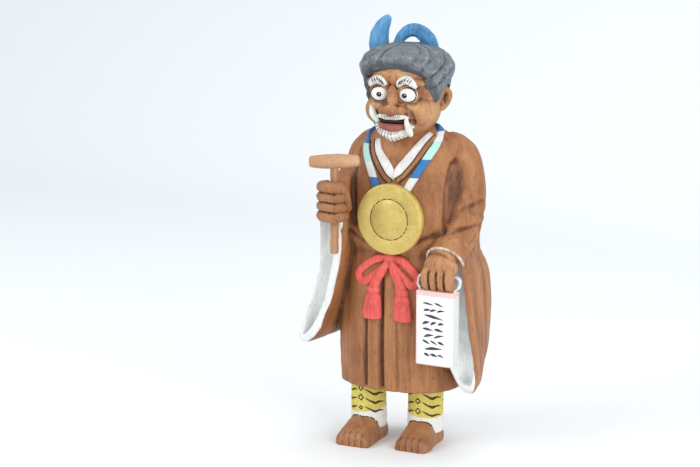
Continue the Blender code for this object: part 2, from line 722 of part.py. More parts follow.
def head():
    """Broad head with arched brows, bulging eyes, flat nose, moustache, beard, tusks and ears."""
    pieces = [
        head_ball("skull", (0, 1, 222), (23.6, 25.0, 22.5)),
        head_ball("face", (0, -3.0, 211), (21.6, 21.6, 20.0)),
        head_ball("jaw", (0, -7.0, 203), (18.4, 18.0, 11.0)),
        head_ball("chin", (0, -16.5, 199.0), (10.5, 8.0, 6.5)),
        head_ball("forehead", (0, -11, 230), (18.5, 14.0, 9.5)),
        head_ball("nose bridge", (0, -24.0, 218.0), (3.6, 4.6, 8.0), (12, 0, 0)),
        head_ball("nose tip", (0, -27.6, 210.8), (5.0, 5.4, 3.8)),
        head_ball("upper lip", (0, -22.0, 206.8), (10.0, 5.0, 3.6)),
        head_ball("lower lip", (0, -24.6, 200.4), (7.4, 3.4, 1.7)),
    ]
    for side in (-1, 1):
        pieces += [
            head_ball("nose wing", (side * 5.6, -25.2, 210.4), (3.1, 3.8, 2.9)),
            head_ball("cheek", (side * 12.4, -17.6, 209.5), (6.6, 6.0, 6.6)),
            head_ball("eye", (side * 9.2, -21.9, 220.2), (5.4, 4.6, 4.3)),
            head_limb("brow", [(side * 3.8, -24.8, 225.2, 1.0), (side * 6.6, -25.4, 228.4, 1.7),
                               (side * 11.0, -23.8, 230.4, 2.0), (side * 15.2, -20.6, 229.0, 1.7),
                               (side * 18.0, -17.8, 226.0, 1.0)]),
            head_limb("moustache", [(0, -26.6, 206.2, 1.4), (side * 4.2, -27.0, 207.2, 1.7),
                                    (side * 8.0, -25.2, 206.4, 1.5), (side * 11.2, -22.6, 204.8, 0.8)]),
            ear(side),
        ]
    pieces += beard()
    # the right tusk stands up along the cheek, the left one hangs over the beard
    pieces.append(head_limb("right tusk", [(-9.8, -24.0, 202.8, 1.9), (-12.6, -23.4, 206.0, 2.0),
                                           (-14.6, -22.2, 210.0, 1.6), (-15.2, -21.2, 213.2, 0.8)]))
    pieces.append(head_limb("left tusk", [(8.2, -25.2, 205.0, 1.6), (9.6, -27.0, 201.2, 1.8),
                                          (10.6, -26.8, 197.4, 1.5)]))
    block = union_of("head", pieces, 0.8)
    block = eased(block, 0.4, 1)
    coords, normals = read_points(block)
    turn = np.array(Matrix.Rotation(-HEAD_TURN, 3, "Z"))
    local = (coords - np.array(HEAD_CENTRE)) @ turn.T + np.array((0, 0, HEAD_CENTRE.z))
    local = press(local, (0, -27.0, 203.2), (8.6, 6.0, 1.5), (0, 7.0, 0))
    for side in (-1, 1):
        local = press(local, (side * 3.0, -29.0, 208.0), (1.4, 3.0, 1.0), (0, 1.4, 0.8))
    turned = np.array(Matrix.Rotation(HEAD_TURN, 3, "Z"))
    coords = (local - np.array((0, 0, HEAD_CENTRE.z))) @ turned.T + np.array(HEAD_CENTRE)
    write_points(block, coords)
    return block


def ear(side):
    """Ear standing off the side of the head behind the sideburn."""
    return head_limb("ear", [(side * 20.2, 2.0, 219.0, 2.2), (side * 23.2, 5.2, 220.0, 2.5),
                             (side * 24.6, 7.0, 215.8, 2.7), (side * 22.6, 4.8, 210.2, 2.6),
                             (side * 19.8, 2.2, 207.8, 2.2)])


def beard():
    """Fringe of beard in a crescent round the lower lip, made of short locks side by side."""
    locks = []
    count = 9
    for i in range(count):
        share = i / (count - 1) * 2 - 1
        angle = share * 1.7
        inner = Vector((7.8 * math.sin(angle), -26.2 + 3.6 * share ** 2, 204.0 - 5.6 * math.cos(angle)))
        outer = Vector((12.0 * math.sin(angle), -24.4 + 4.0 * share ** 2, 204.4 - 10.2 * math.cos(angle)))
        middle = (inner + outer) / 2 + Vector((0, -1.2, 0))
        locks.append(head_limb("lock", [(*inner, 1.6), (*middle, 2.5), (*outer, 1.7)], steps=3, sides=2))
    return locks


# Hair as level sections: height, half-width, front and back beside the head's axis
HAIR = [
    (205, 17.0, -16.0, 19.0),
    (209, 20.5, -19.0, 22.5),
    (215, 24.0, -22.5, 25.6),
    (221, 25.8, -24.5, 27.0),
    (228, 27.6, -26.2, 28.6),
    (234, 28.8, -27.8, 29.4),
    (239, 28.6, -27.8, 29.0),
    (243.5, 25.4, -24.8, 26.0),
    (246.8, 18.5, -18.5, 19.0),
    (248, 8.0, -8.0, 8.0),
]
HAIRLINE_TOP = 238.0       # its lowest edge over the forehead
HAIRLINE_SLOPE = 0.86      # how far it runs back for each step down to the sideburns
EAR_CLEAR = (224.5, 7.5)   # below this height the hair lies behind this depth


def hair():
    """Swept-up hair: wider than the head, its edge slanting from forehead to sideburns."""
    rings = []
    for height, half, front, back in smooth_path(HAIR, 3):
        if height < EAR_CLEAR[0]:
            limit = EAR_CLEAR[1]
        else:
            limit = front + max(0.0, HAIRLINE_TOP - height) * HAIRLINE_SLOPE
        ring = []
        for i in range(56):
            angle = 2 * math.pi * i / 56
            x = half * math.cos(angle)
            y = (front + back) / 2 + (back - front) / 2 * math.sin(angle)
            ring.append(at_head((x, max(y, limit), height)))
        rings.append(ring)
    pieces = [loft("hair", rings)]
    for side in (-1, 1):
        rings = []
        for height, fore, aft, reach in [(227, -19.5, 3, 26.4), (222, -15.0, -1.5, 25.0),
                                         (217.5, -11.2, -5.0, 23.8), (214.4, -9.0, -7.4, 22.6)]:
            rings.append([at_head((side * x, y, height)) for x, y in
                          ((16, fore), (reach - 2.4, fore), (reach, (fore + aft) / 2), (reach - 0.6, aft),
                           (16, aft))])
        pieces.append(loft("sideburn", rings))
    block = eased(union_of("hair", pieces, 0.95), 0.5, 1)
    coords, normals = read_points(block)
    write_points(block, carve_locks(coords, normals))
    return block


def carve_locks(coords, normals):
    """Knife-cut locks that lean back as they rise, and the notch over the forehead."""
    flat = coords[:, :2] - np.array((HEAD_CENTRE.x, HEAD_CENTRE.y))
    around = np.arctan2(flat[:, 0], -flat[:, 1]) - HEAD_TURN
    turn = around / (2 * math.pi) * LOCK_COUNT
    lean = (coords[:, 2] - HAIRLINE_TOP) * LOCK_LEAN * np.tanh(around * 3.0)
    gap = np.abs((turn - lean) % 1.0 - 0.5) * 2.0
    crown = np.clip((249.5 - coords[:, 2]) / 7.0, 0.3, 1.0)
    cut = np.clip(1.0 - (1.0 - gap) * 3.2, 0.0, 1.0) * LOCK_DEPTH * crown
    coords = coords - normals * cut[:, None]
    return press(coords, tuple(at_head((0.6, -28.0, 235.0))), (1.5, 4.0, 2.4), (0.0, 1.4, 0.0))


LOCK_COUNT = 18
LOCK_LEAN = 0.07
LOCK_DEPTH = 0.9


def horn(name, stations, width):
    """Horn along stations of x, y, z and share of its width."""
    placed = [(*station[:3], station[3] * width / UNIT / 2) for station in stations]
    return limb(name, placed, steps=3, sides=2, flat=HORN_FLAT)


SHORT_HORN = [(-23.6, 4, 240.0, 0.96), (-23.9, 4, 246, 1.0), (-23.6, 4.4, 251, 0.92),
              (-21.6, 4.8, 256.4, 0.72), (-18.8, 5.0, 260.6, 0.46), (-17.2, 5.0, 262.6, 0.26)]
CURLED_HORN = [(11.4, 5.6, 238.6, 0.92), (12.6, 5.4, 244.2, 1.0), (10.2, 4.8, 250.2, 0.98),
               (4.4, 3.8, 254.0, 0.90), (-2.4, 2.4, 253.8, 0.78), (-7.6, 0.8, 251.0, 0.62),
               (-10.6, -0.8, 247.9, 0.40)]


def seat_tool(name, stations, width):
    """Socket for a horn in the hair: the horn's own form, let out by the clearance all round."""
    tool = horn(name, stations, width)
    coords, normals = read_points(tool)
    # a corner of the skin moves further than its faces do
    write_points(tool, coords + normals * (1.25 * CLEARANCE / UNIT))
    return tool


def disc(name, radius, thickness, centre):
    """Round slab facing front, its front face at the centre's depth."""
    shape = bmesh.new()
    place = Matrix.Translation(Vector(centre) + Vector((0, thickness / 2, 0)))
    bmesh.ops.create_cone(shape, cap_ends=True, segments=GONG_SIDES, radius1=radius, radius2=radius,
                          depth=thickness, matrix=place @ Matrix.Rotation(math.pi / 2, 4, "X"))
    return object_from(name, shape)


def box(name, low, high):
    """Box between two corners."""
    shape = bmesh.new()
    size = [high[i] - low[i] for i in range(3)]
    middle = [(high[i] + low[i]) / 2 for i in range(3)]
    bmesh.ops.create_cube(shape, size=1.0,
                          matrix=Matrix.Translation(middle) @ Matrix.Diagonal((*size, 1.0)))
    return object_from(name, shape)


def softened(thing, width, segments=2):
    bevel = thing.modifiers.new("edge", "BEVEL")
    bevel.width = width
    bevel.segments = segments
    bevel.limit_method = "ANGLE"
    bevel.angle_limit = math.radians(50.0)
    return thing


def gong_centre():
    """Middle of the gong's front face: its back lies in a shallow flat on the chest."""
    return Vector((2.2 * UNIT, GONG_BACK - GONG_THICKNESS, 145.5 * UNIT))


GONG_BACK = -28.9 * UNIT


def make_gong():
    """Turned disc with rounded rims and a ring incised in its face."""
    radius = GONG_DIAMETER / 2
    ring = radius * GONG_RING
    half = GONG_RING_WIDTH / 2
    face = GONG_THICKNESS
    profile = [(0.0, face), (ring - half, face), (ring, face - GONG_RING_DEPTH), (ring + half, face),
               (radius - GONG_EDGE, face), (radius - GONG_EDGE * 0.3, face - GONG_EDGE * 0.3),
               (radius, face - GONG_EDGE), (radius, GONG_EDGE),
               (radius - GONG_EDGE * 0.3, GONG_EDGE * 0.3), (radius - GONG_EDGE, 0.0), (0.0, 0.0)]
    shape = bmesh.new()
    verts = [shape.verts.new((r, 0.0, z)) for r, z in profile]
    for first, second in zip(verts, verts[1:]):
        shape.edges.new((first, second))
    mesh = bpy.data.meshes.new("gong")
    shape.to_mesh(mesh)
    shape.free()
    gong = bpy.data.objects.new("gong", mesh)
    bpy.context.scene.collection.objects.link(gong)
    turned = gong.modifiers.new("turned", "SCREW")
    turned.axis = "Z"
    turned.steps = GONG_SIDES
    turned.render_steps = GONG_SIDES
    turned.use_merge_vertices = True
    turned.merge_threshold = 0.00001
    settled(gong)
    back = gong_centre() + Vector((0, GONG_THICKNESS, 0))
    gong.data.transform(Matrix.Translation(back) @ Matrix.Rotation(math.pi / 2, 4, "X"))
    return gong


def handle_box(name, grow=0.0):
    """Square stick of the mallet, through the fist and up into the head's socket."""
    x, y = FIST[0] * UNIT, FIST[1] * UNIT
    half = HANDLE_SIDE / 2 + grow
    low = FIST_BOTTOM * UNIT - HANDLE_BELOW_FIST
    return box(name, (x - half, y - half, low - grow), (x + half, y + half, handle_top() + grow))


FIST_BOTTOM = 143.8
FIST_TOP = 168.6


def handle_top():
    return FIST_TOP * UNIT + HANDLE_ABOVE_FIST


def mallet_centre():
    """Middle of the mallet's head, its socket resting on the stick's end."""
    height = handle_top() + MALLET_DIAMETER / 2 - MALLET_SOCKET_DEPTH + CLEARANCE
    return Vector((FIST[0] * UNIT, FIST[1] * UNIT, height))


def make_mallet_head():
    """Barrel lying across the stick, thicker in the middle, with rounded ends."""
    half = MALLET_LENGTH / 2
    thick, end = MALLET_DIAMETER / 2, MALLET_END_DIAMETER / 2
    profile = [(0.0, -half), (end - 0.0008, -half), (end, -half + 0.0007)]
    for i in range(1, 6):
        share = i / 6 * 2 - 1
        profile.append((end + (thick - end) * (1 - share ** 2), share * (half - 0.0007)))
    profile += [(end, half - 0.0007), (end - 0.0008, half), (0.0, half)]
    rings = []
    for radius, place in profile:
        radius = max(radius, 0.0002)
        rings.append([(place / UNIT, radius / UNIT * math.cos(a), radius / UNIT * math.sin(a))
                      for a in np.linspace(0, 2 * math.pi, 16, endpoint=False)])
    barrel = loft("mallet_head", rings)
    barrel.data.transform(Matrix.Translation(mallet_centre()) @ Matrix.Rotation(MALLET_TURN, 4, "Z"))
    return barrel


def book_place():
    """Left and right, front and back, bottom and top of the book, under the fingers."""
    middle = 34.2 * UNIT
    front = -36.8 * UNIT
    top = 105.6 * UNIT
    return (middle - BOOK_WIDTH / 2, middle + BOOK_WIDTH / 2, front, front + BOOK_THICKNESS,
            top - BOOK_HEIGHT, top)


def loop_path():
    """Route of the carrying loop: up beside the fingers and across behind them."""
    left, right, front, back, _, top = book_place()
    depth = (HAND[1] + 1.6) * UNIT
    reach = 1.3 * UNIT
    rise = 114.2 * UNIT
    corner = 3.0 * UNIT
    root = (front + back) / 2
    inner = LOOP_THICKNESS / 2
    points = [(left + inner, root, top - 0.004), (left + inner, root, top + 0.001),
              (left - reach, (root + depth) / 2, rise - 2 * corner), (left - reach, depth, rise - corner)]
    points += [(left - reach + corner * (1 - math.cos(a)), depth, rise - corner + corner * math.sin(a))
               for a in (0.5, 1.1, 1.57)]
    shift = 2 * reach
    right += shift
    points += [(right - reach - corner * (1 - math.cos(a)), depth, rise - corner + corner * math.sin(a))
               for a in (1.57, 1.1, 0.5)]
    points += [(right - reach, depth, rise - corner),
               (right - reach, (root + depth) / 2, rise - 2 * corner),
               (right - shift - inner, root, top + 0.001), (right - shift - inner, root, top - 0.004)]
    return [Vector(point) for point in points]


def strip_along(name, points, wide, thick):
    """Flat strip along a path that stays nearly in the XZ plane, its width in depth."""
    rings = []
    for i, point in enumerate(points):
        ahead = points[min(i + 1, len(points) - 1)]
        behind = points[max(i - 1, 0)]
        run = ahead - behind
        run.y = 0.0
        run.normalize()
        side = Vector((run.z, 0.0, -run.x)) * (thick / 2)
        deep = Vector((0.0, wide / 2, 0.0))
        rings.append([(corner / UNIT) for corner in
                      (point + side - deep, point + side + deep, point - side + deep,
                       point - side - deep)])
    return loft(name, rings)


def make_book():
    """White block book with pale covers and the loop that the hand holds."""
    left, right, front, back, bottom, top = book_place()
    book = settled(softened(box("pilgrim_book", (left, front, bottom), (right, back, top)), BOOK_EDGE))
    loop = strip_along("loop", loop_path(), LOOP_BAND, LOOP_THICKNESS)
    return combine(book, loop, "UNION")


def loop_tunnel():
    """Tool that clears the loop's way through the hand."""
    return strip_along("loop tunnel", loop_path(), LOOP_BAND + 2 * CLEARANCE,
                       LOOP_THICKNESS + 2 * CLEARANCE)


def book_room():
    """Tool that keeps the finger ends clear of the book's top and the robe clear of its back."""
    left, right, front, back, bottom, top = book_place()
    gap = CLEARANCE
    return box("book room", (left - gap, front - PAST, bottom - gap),
               (right + gap, back + gap, top + gap))


def make_figure(tools):
    """The one carved block, with the seats for what is let into it or lies against it."""
    body = torso_and_sleeves()
    hollow_right = sleeve_hollow("right hollow", RIGHT_SLEEVE, SLEEVE_RIM, *RIGHT_HOLLOW)
    hollow_left = sleeve_hollow("left hollow", LEFT_SLEEVE, LEFT_SLEEVE_RIM, *LEFT_HOLLOW)
    parts = [body] + chest_bands() + bow()
    for name, place in LEGS.items():
        parts.append(leg_and_foot(name, *place))
    body = lightened(union_of("figure", parts, CARVING_GRID), ROBE_TRIANGLES)
    for hollow in (hollow_right, hollow_left):
        combine(body, hollow, "DIFFERENCE", "MANIFOLD")
    for name, shapes, triangles in [("face and hair", [head(), hair()], HEAD_TRIANGLES),
                                    ("fist", right_fist(), HAND_TRIANGLES),
                                    ("hand", left_hand(), HAND_TRIANGLES)]:
        part = lightened(union_of(name, shapes, HEAD_GRID), triangles)
        combine(body, part, "UNION", "MANIFOLD")
    body.name = "figure"
    floor = box("under the floor", (-FIGURE_HEIGHT, -FIGURE_HEIGHT, -PAST), (FIGURE_HEIGHT, FIGURE_HEIGHT, 0.0))
    radius = GONG_DIAMETER / 2 + CLEARANCE
    seat = disc("gong seat", radius, GONG_THICKNESS + PAST, gong_centre() - Vector((0, PAST - CLEARANCE, 0)))
    cut_by(body, floor, tools)
    cut_by(body, seat, tools)
    cut_by(body, handle_box("handle hole", CLEARANCE), tools)
    cut_by(body, loop_tunnel(), tools)
    cut_by(body, book_room(), tools)
    cut_by(body, seat_tool("short horn seat", SHORT_HORN, SHORT_HORN_WIDTH), tools)
    cut_by(body, seat_tool("curled horn seat", CURLED_HORN, CURLED_HORN_WIDTH), tools)
    return body


def main():
    clear_scene()
    group = new_collection("praying_demon_sculpture")
    tools = new_collection("cutters")
    wood = paint("carved brown wood", (0.30, 0.13, 0.06), 0.62)
    blue = paint("blue horn paint", (0.05, 0.24, 0.55), 0.5)
    gilt = paint("gold leaf", (0.62, 0.46, 0.14), 0.38, 0.75)
    pale = paint("pale mallet wood", (0.55, 0.30, 0.14), 0.55)
    stick = paint("mallet stick wood", (0.45, 0.24, 0.11), 0.6)
    white = paint("white book paint", (0.80, 0.79, 0.76), 0.6)
    pieces = [
        finished(make_figure(tools), wood, group),
        finished(horn("horn_right", SHORT_HORN, SHORT_HORN_WIDTH), blue, group),
        finished(horn("horn_left", CURLED_HORN, CURLED_HORN_WIDTH), blue, group),
        finished(make_gong(), gilt, group),
        finished(make_mallet_head(), pale, group),
        finished(softened(handle_box("mallet_handle"), 0.0003, 1), stick, group),
        finished(make_book(), white, group),
    ]
    names = ["figure", "horn_right", "horn_left", "gong", "mallet_head", "mallet_handle",
             "pilgrim_book"]
    for piece, name in zip(pieces, names):
        piece.name = name
    cut_by(pieces[4], handle_box("mallet socket", CLEARANCE), tools)
    stand_on_origin(pieces, tools)


def stand_on_origin(pieces, tools):
    """Hang everything on one empty that stands the whole on the middle of its own box."""
    bpy.context.view_layer.update()
    graph = bpy.context.evaluated_depsgraph_get()
    corners = []
    for piece in pieces:
        shown = piece.evaluated_get(graph)
        corners += [piece.matrix_world @ Vector(corner) for corner in shown.bound_box]
    low = Vector([min(corner[i] for corner in corners) for i in range(3)])
    high = Vector([max(corner[i] for corner in corners) for i in range(3)])
    stand = bpy.data.objects.new("stand", None)
    tools.objects.link(stand)
    stand.location = (-(low.x + high.x) / 2, -(low.y + high.y) / 2, -low.z)
    for piece in pieces + [tool for tool in tools.objects if tool.type == "MESH"]:
        piece.parent = stand


main()
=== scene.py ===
import math

import bmesh
import bpy
import numpy as np
from mathutils import Matrix, Vector
from mathutils.bvhtree import BVHTree
from mathutils.kdtree import KDTree


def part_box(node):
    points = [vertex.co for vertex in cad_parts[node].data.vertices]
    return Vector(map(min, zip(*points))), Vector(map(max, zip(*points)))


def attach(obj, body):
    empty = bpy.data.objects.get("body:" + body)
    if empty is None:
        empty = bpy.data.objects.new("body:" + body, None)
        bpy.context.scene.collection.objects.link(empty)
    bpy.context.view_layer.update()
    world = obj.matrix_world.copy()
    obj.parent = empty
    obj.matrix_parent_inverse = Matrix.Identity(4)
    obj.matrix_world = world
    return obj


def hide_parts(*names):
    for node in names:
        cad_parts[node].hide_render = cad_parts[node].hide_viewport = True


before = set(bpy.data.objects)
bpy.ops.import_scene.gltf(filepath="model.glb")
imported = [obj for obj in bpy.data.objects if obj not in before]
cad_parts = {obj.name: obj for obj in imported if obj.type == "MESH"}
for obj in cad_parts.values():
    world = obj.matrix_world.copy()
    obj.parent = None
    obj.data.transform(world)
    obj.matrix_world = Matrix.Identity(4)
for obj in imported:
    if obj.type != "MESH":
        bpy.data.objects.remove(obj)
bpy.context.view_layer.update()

# Where the carving stands.
# It is drawn in millimetres round its own middle, facing -Y; the gong, whose front face lies
# 33.7 mm before that middle and 2.2 mm to its left, shows where the frame has it.
MM = 0.001
GONG_AHEAD, GONG_TO_LEFT = 33.7, 2.2
gong_low, gong_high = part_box("gong")
STANDS_AT = Vector(((gong_low.x + gong_high.x) / 2 - GONG_TO_LEFT * MM,
                    gong_low.y + GONG_AHEAD * MM, 0.0))


# Camera, daylight studio and the pale table.
# A long lens looks from the figure's left front and a little above, as in a catalogue picture;
# a wide soft window stands to the left, a weaker one to the right, and white walls fill in.
def in_scene(name, data):
    """New object, put into the scene."""
    thing = bpy.data.objects.new(name, data)
    bpy.context.scene.collection.objects.link(thing)
    return thing


def facing_to(thing, place, aim):
    """Set a camera or a lamp at a place and turn it towards another."""
    thing.location = place
    thing.rotation_euler = (aim - thing.location).to_track_quat("-Z", "Y").to_euler()


camera = in_scene("catalogue_camera", bpy.data.cameras.new("catalogue_camera"))
bpy.context.scene.camera = camera
facing_to(camera, Vector((551.94, -1116.60, 395.30)) * MM + STANDS_AT,
          Vector((-45.03, 6.15, 125.02)) * MM + STANDS_AT)
camera.data.sensor_width = 36.0
camera.data.lens = 106.97
camera.data.clip_start = 0.05
camera.data.clip_end = 20.0
for name, place, width, watts, colour in (
        ("window_left", (-0.75, -0.95, 0.95), 0.75, 7.4, (1.0, 0.985, 0.96)),
        ("window_right", (1.05, -0.55, 0.55), 0.9, 8.6, (0.97, 0.985, 1.0)),
        ("window_above", (0.1, 0.15, 1.25), 0.8, 3.8, (1.0, 1.0, 1.0))):
    lamp = bpy.data.lights.new(name, "AREA")
    lamp.shape = "RECTANGLE"
    lamp.size = lamp.size_y = width
    lamp.energy = watts
    lamp.color = colour
    facing_to(in_scene(name, lamp), Vector(place), Vector((0.0, 0.0, 0.13)))
studio = bpy.data.worlds.new("white_studio")
bpy.context.scene.world = studio
studio.use_nodes = True
studio.node_tree.nodes["Background"].inputs["Color"].default_value = (0.92, 0.96, 1.0, 1.0)
studio.node_tree.nodes["Background"].inputs["Strength"].default_value = 0.74
bpy.context.scene.view_settings.view_transform = "Standard"


def feed(tree, socket, value):
    """Join an output to a socket, or set the socket to a value."""
    if isinstance(value, bpy.types.NodeSocket):
        tree.links.new(value, socket)
    else:
        socket.default_value = value


def node(tree, kind, inputs=None, **settings):
    """Shader node with its settings, and its inputs set to values or joined to outputs."""
    made = tree.nodes.new("ShaderNode" + kind)
    for name, value in settings.items():
        setattr(made, name, value)
    for name, value in (inputs or {}).items():
        feed(tree, made.inputs[name], value)
    return made


def noise(tree, scale, detail, where=None, **more):
    """Grey value of a noise texture, on the piece's own coordinates or on others."""
    inputs = {"Vector": where} if where else {}
    inputs.update(Scale=scale, Detail=detail, **more)
    return node(tree, "TexNoise", inputs).outputs["Fac"]


def blended(tree, share, one, other, blend="MIX"):
    """Two colours mixed by a share, each a value or an output."""
    mix = node(tree, "Mix", data_type="RGBA", blend_type=blend)
    for slot_number, value in ((0, share), (6, one), (7, other)):
        feed(tree, mix.inputs[slot_number], value)
    return mix.outputs[2]


def new_finish(name):
    """Material, its node tree and the inputs of its shader."""
    finish = bpy.data.materials.new(name)
    finish.use_nodes = True
    return finish, finish.node_tree, finish.node_tree.nodes["Principled BSDF"].inputs


table_top = bmesh.new()
bmesh.ops.create_grid(table_top, x_segments=60, y_segments=60, size=1.6)
for vert in table_top.verts:
    # the sheet of paper sweeps up behind the carving
    rise = max(0.0, vert.co.y - 0.62)
    vert.co.z = 1.1 * rise * rise / (rise + 0.35)
sheet_mesh = bpy.data.meshes.new("paper_sweep")
table_top.to_mesh(sheet_mesh)
table_top.free()
sheet_mesh.shade_smooth()
paper, paper_tree, paper_sockets = new_finish("white_paper")
feed(paper_tree, paper_sockets["Base Color"], blended(
    paper_tree, noise(paper_tree, 900.0, 3.0), (0.86, 0.885, 0.90, 1.0), (0.89, 0.905, 0.915, 1.0)))
paper_sockets["Roughness"].default_value = 0.9
sheet_mesh.materials.append(paper)
in_scene("paper_sweep", sheet_mesh)


# The robe, with its two hanging sleeves, the arms in them and the neck.
# On the real piece all of it is one block of brown, close-grained wood, cut with knives and
# left unpainted but for the white linings of the sleeves; the grain runs upright.
def skin_through(name, rings):
    """Closed skin through rings of points in millimetres, all of one count."""
    shape = bmesh.new()
    loops = [[shape.verts.new(Vector(point) * MM) for point in ring] for ring in rings]
    for lower, upper in zip(loops, loops[1:]):
        for i in range(len(lower)):
            j = (i + 1) % len(lower)
            shape.faces.new((lower[i], lower[j], upper[j], upper[i]))
    shape.faces.new(loops[0][::-1])
    shape.faces.new(loops[-1])
    return new_piece(name, shape)


def new_piece(name, shape):
    """Piece made from a shape, its faces turned outwards; the shape is used up."""
    bmesh.ops.recalc_face_normals(shape, faces=shape.faces)
    mesh = bpy.data.meshes.new(name)
    shape.to_mesh(mesh)
    shape.free()
    return in_scene(name, mesh)


def smooth_way(points, steps):
    """Points on a smooth curve through the given ones, each point any number of values."""
    rows = [np.array(point, float) for point in points]
    rows = [2 * rows[0] - rows[1]] + rows + [2 * rows[-1] - rows[-2]]
    way = []
    for a, b, c, d in zip(rows, rows[1:], rows[2:], rows[3:]):
        for step in range(steps):
            t = step / steps
            way.append(0.5 * (2 * b + (c - a) * t + (2 * a - 5 * b + 4 * c - d) * t ** 2
                              + (3 * b - a - 3 * c + d) * t ** 3))
    way.append(rows[-2])
    return way


def full_turn(count):
    """Angles once round, evenly spaced."""
    return np.linspace(0, 2 * math.pi, count, endpoint=False)


def squared(value, power):
    """Sine or cosine raised to a power with its sign kept; under 1 it squares a round ring."""
    return math.copysign(abs(value) ** power, value)


def round_bar(name, stations, steps=6, sides=24):
    """Round tapering bar along stations of x, y, z and radius, in millimetres."""
    way = smooth_way(stations, steps)
    centres = [Vector(station[:3]) for station in way]
    rings = []
    side = None
    for i, (centre, station) in enumerate(zip(centres, way)):
        run = (centres[min(i + 1, len(way) - 1)] - centres[max(i - 1, 0)]).normalized()
        if side is None:
            side = run.orthogonal().normalized()
        side = (side - run * side.dot(run)).normalized()
        up = run.cross(side)
        rings.append([centre + (side * math.cos(a) + up * math.sin(a)) * station[3]
                      for a in full_turn(sides)])
    return skin_through(name, rings)


def blob(name, centre, radii, turn=(0.0, 0.0, 0.0), fine=32):
    """Ellipsoid in millimetres, turned by three angles in degrees."""
    shape = bmesh.new()
    bmesh.ops.create_uvsphere(shape, u_segments=fine, v_segments=fine // 2 + 2, radius=1.0)
    spin = Matrix.Identity(3)
    for axis, angle in zip("XYZ", turn):
        spin = Matrix.Rotation(math.radians(angle), 3, axis) @ spin
    for vert in shape.verts:
        stretched = Vector((vert.co.x * radii[0], vert.co.y * radii[1], vert.co.z * radii[2]))
        vert.co = (spin @ stretched + Vector(centre)) * MM
    return new_piece(name, shape)


def settled(piece):
    """Let a piece keep what its modifiers make of it."""
    bpy.context.view_layer.update()
    shown = piece.evaluated_get(bpy.context.evaluated_depsgraph_get())
    mesh = bpy.data.meshes.new_from_object(shown)
    piece.modifiers.clear()
    piece.data = mesh
    return piece


def one_block(name, parts, grid, rounds=2):
    """Overlapping shapes made one skin on a fine grid in millimetres, its steps smoothed."""
    whole = bmesh.new()
    for part in parts:
        whole.from_mesh(part.data)
        bpy.data.objects.remove(part, do_unlink=True)
    block = new_piece(name, whole)
    remesh = block.modifiers.new("one skin", "REMESH")
    remesh.mode = "VOXEL"
    remesh.voxel_size = grid * MM
    remesh.adaptivity = 0.0
    smooth = block.modifiers.new("smooth the grid", "SMOOTH")
    smooth.factor = 0.5
    smooth.iterations = rounds
    return settled(block)


def read_points(piece):
    """Coordinates in millimetres and normals of a piece's points."""
    count = len(piece.data.vertices)
    coords = np.empty(count * 3)
    normals = np.empty(count * 3)
    piece.data.vertices.foreach_get("co", coords)
    piece.data.vertex_normals.foreach_get("vector", normals)
    return coords.reshape(-1, 3) / MM, normals.reshape(-1, 3)


def move_points(piece, coords):
    """Set a piece's points to coordinates in millimetres."""
    piece.data.vertices.foreach_set("co", (coords * MM).ravel())
    piece.data.update()


def gap_to_way(flat, way):
    """Distance of flat points to a line through flat points, and on which side they lie."""
    nearest = np.full(len(flat), 1e9)
    side = np.ones(len(flat))
    for start, end in zip(way, way[1:]):
        start, end = np.array(start, float), np.array(end, float)
        run, off = end - start, flat - start
        share = np.clip((off @ run) / max(run @ run, 1e-9), 0.0, 1.0)
        gap = np.linalg.norm(off - share[:, None] * run, axis=1)
        closer = gap < nearest
        nearest = np.where(closer, gap, nearest)
        side = np.where(closer, np.sign(run[0] * off[:, 1] - run[1] * off[:, 0]), side)
    return nearest, side


def scored(coords, normals, way, width, depth, plane="xz", facing=(0.0, -1.0, 0.0), sharp=1.0,
           slope=None):
    """Coordinates after a V cut along a way seen from one side, from the front by default; a
    slope is the cut's own width to the left of the way."""
    columns = ["xyz".index(letter) for letter in plane]
    gap, side = gap_to_way(coords[:, columns], way)
    reach = np.where(side > 0, slope or width, width)
    towards = np.clip(normals @ np.array(facing) * 1.6, 0.0, 1.0)
    cut = np.clip(1.0 - gap / reach, 0.0, 1.0) ** sharp * towards * depth
    return coords - normals * cut[:, None]


def pushed(coords, centre, radii, push):
    """Coordinates after a soft push that fades away from a centre."""
    share = (coords - np.array(centre, float)) / np.array(radii, float)
    return coords + np.exp(-(share ** 2).sum(axis=1))[:, None] * np.array(push, float)


def whittled(coords, normals, facet, strength, seed):
    """Coordinates flattened into the small planes that a knife leaves; facet is their size in
    millimetres along x, y and z."""
    stretch = 1.0 / np.array(facet, float)
    draw = np.random.default_rng(seed)
    order = draw.permutation(len(coords))
    cells = np.floor(coords * stretch + draw.random(3)).astype(int)
    _, first = np.unique(cells[order], axis=0, return_index=True)
    heads = order[first]
    tree = KDTree(len(heads))
    for i, head in enumerate(heads):
        tree.insert(coords[head] * stretch, i)
    tree.balance()
    owner = np.array([heads[tree.find(point)[1]] for point in coords * stretch])
    off = np.einsum("ij,ij->i", coords - coords[owner], normals[owner])
    alike = np.clip(np.einsum("ij,ij->i", normals, normals[owner]) * 4.0 - 2.6, 0.0, 1.0)
    off = np.clip(off, -0.5, 0.5) * alike * strength
    return coords - normals[owner] * off[:, None]


def averaged(values, links, counts, rounds):
    """Values at the points, averaged with their neighbours again and again."""
    for _ in range(rounds):
        total = np.stack([np.bincount(links[:, 0], values[links[:, 1], k], len(values))
                          + np.bincount(links[:, 1], values[links[:, 0], k], len(values))
                          for k in range(values.shape[1])], axis=1)
        values = total / counts[:, None]
    return values


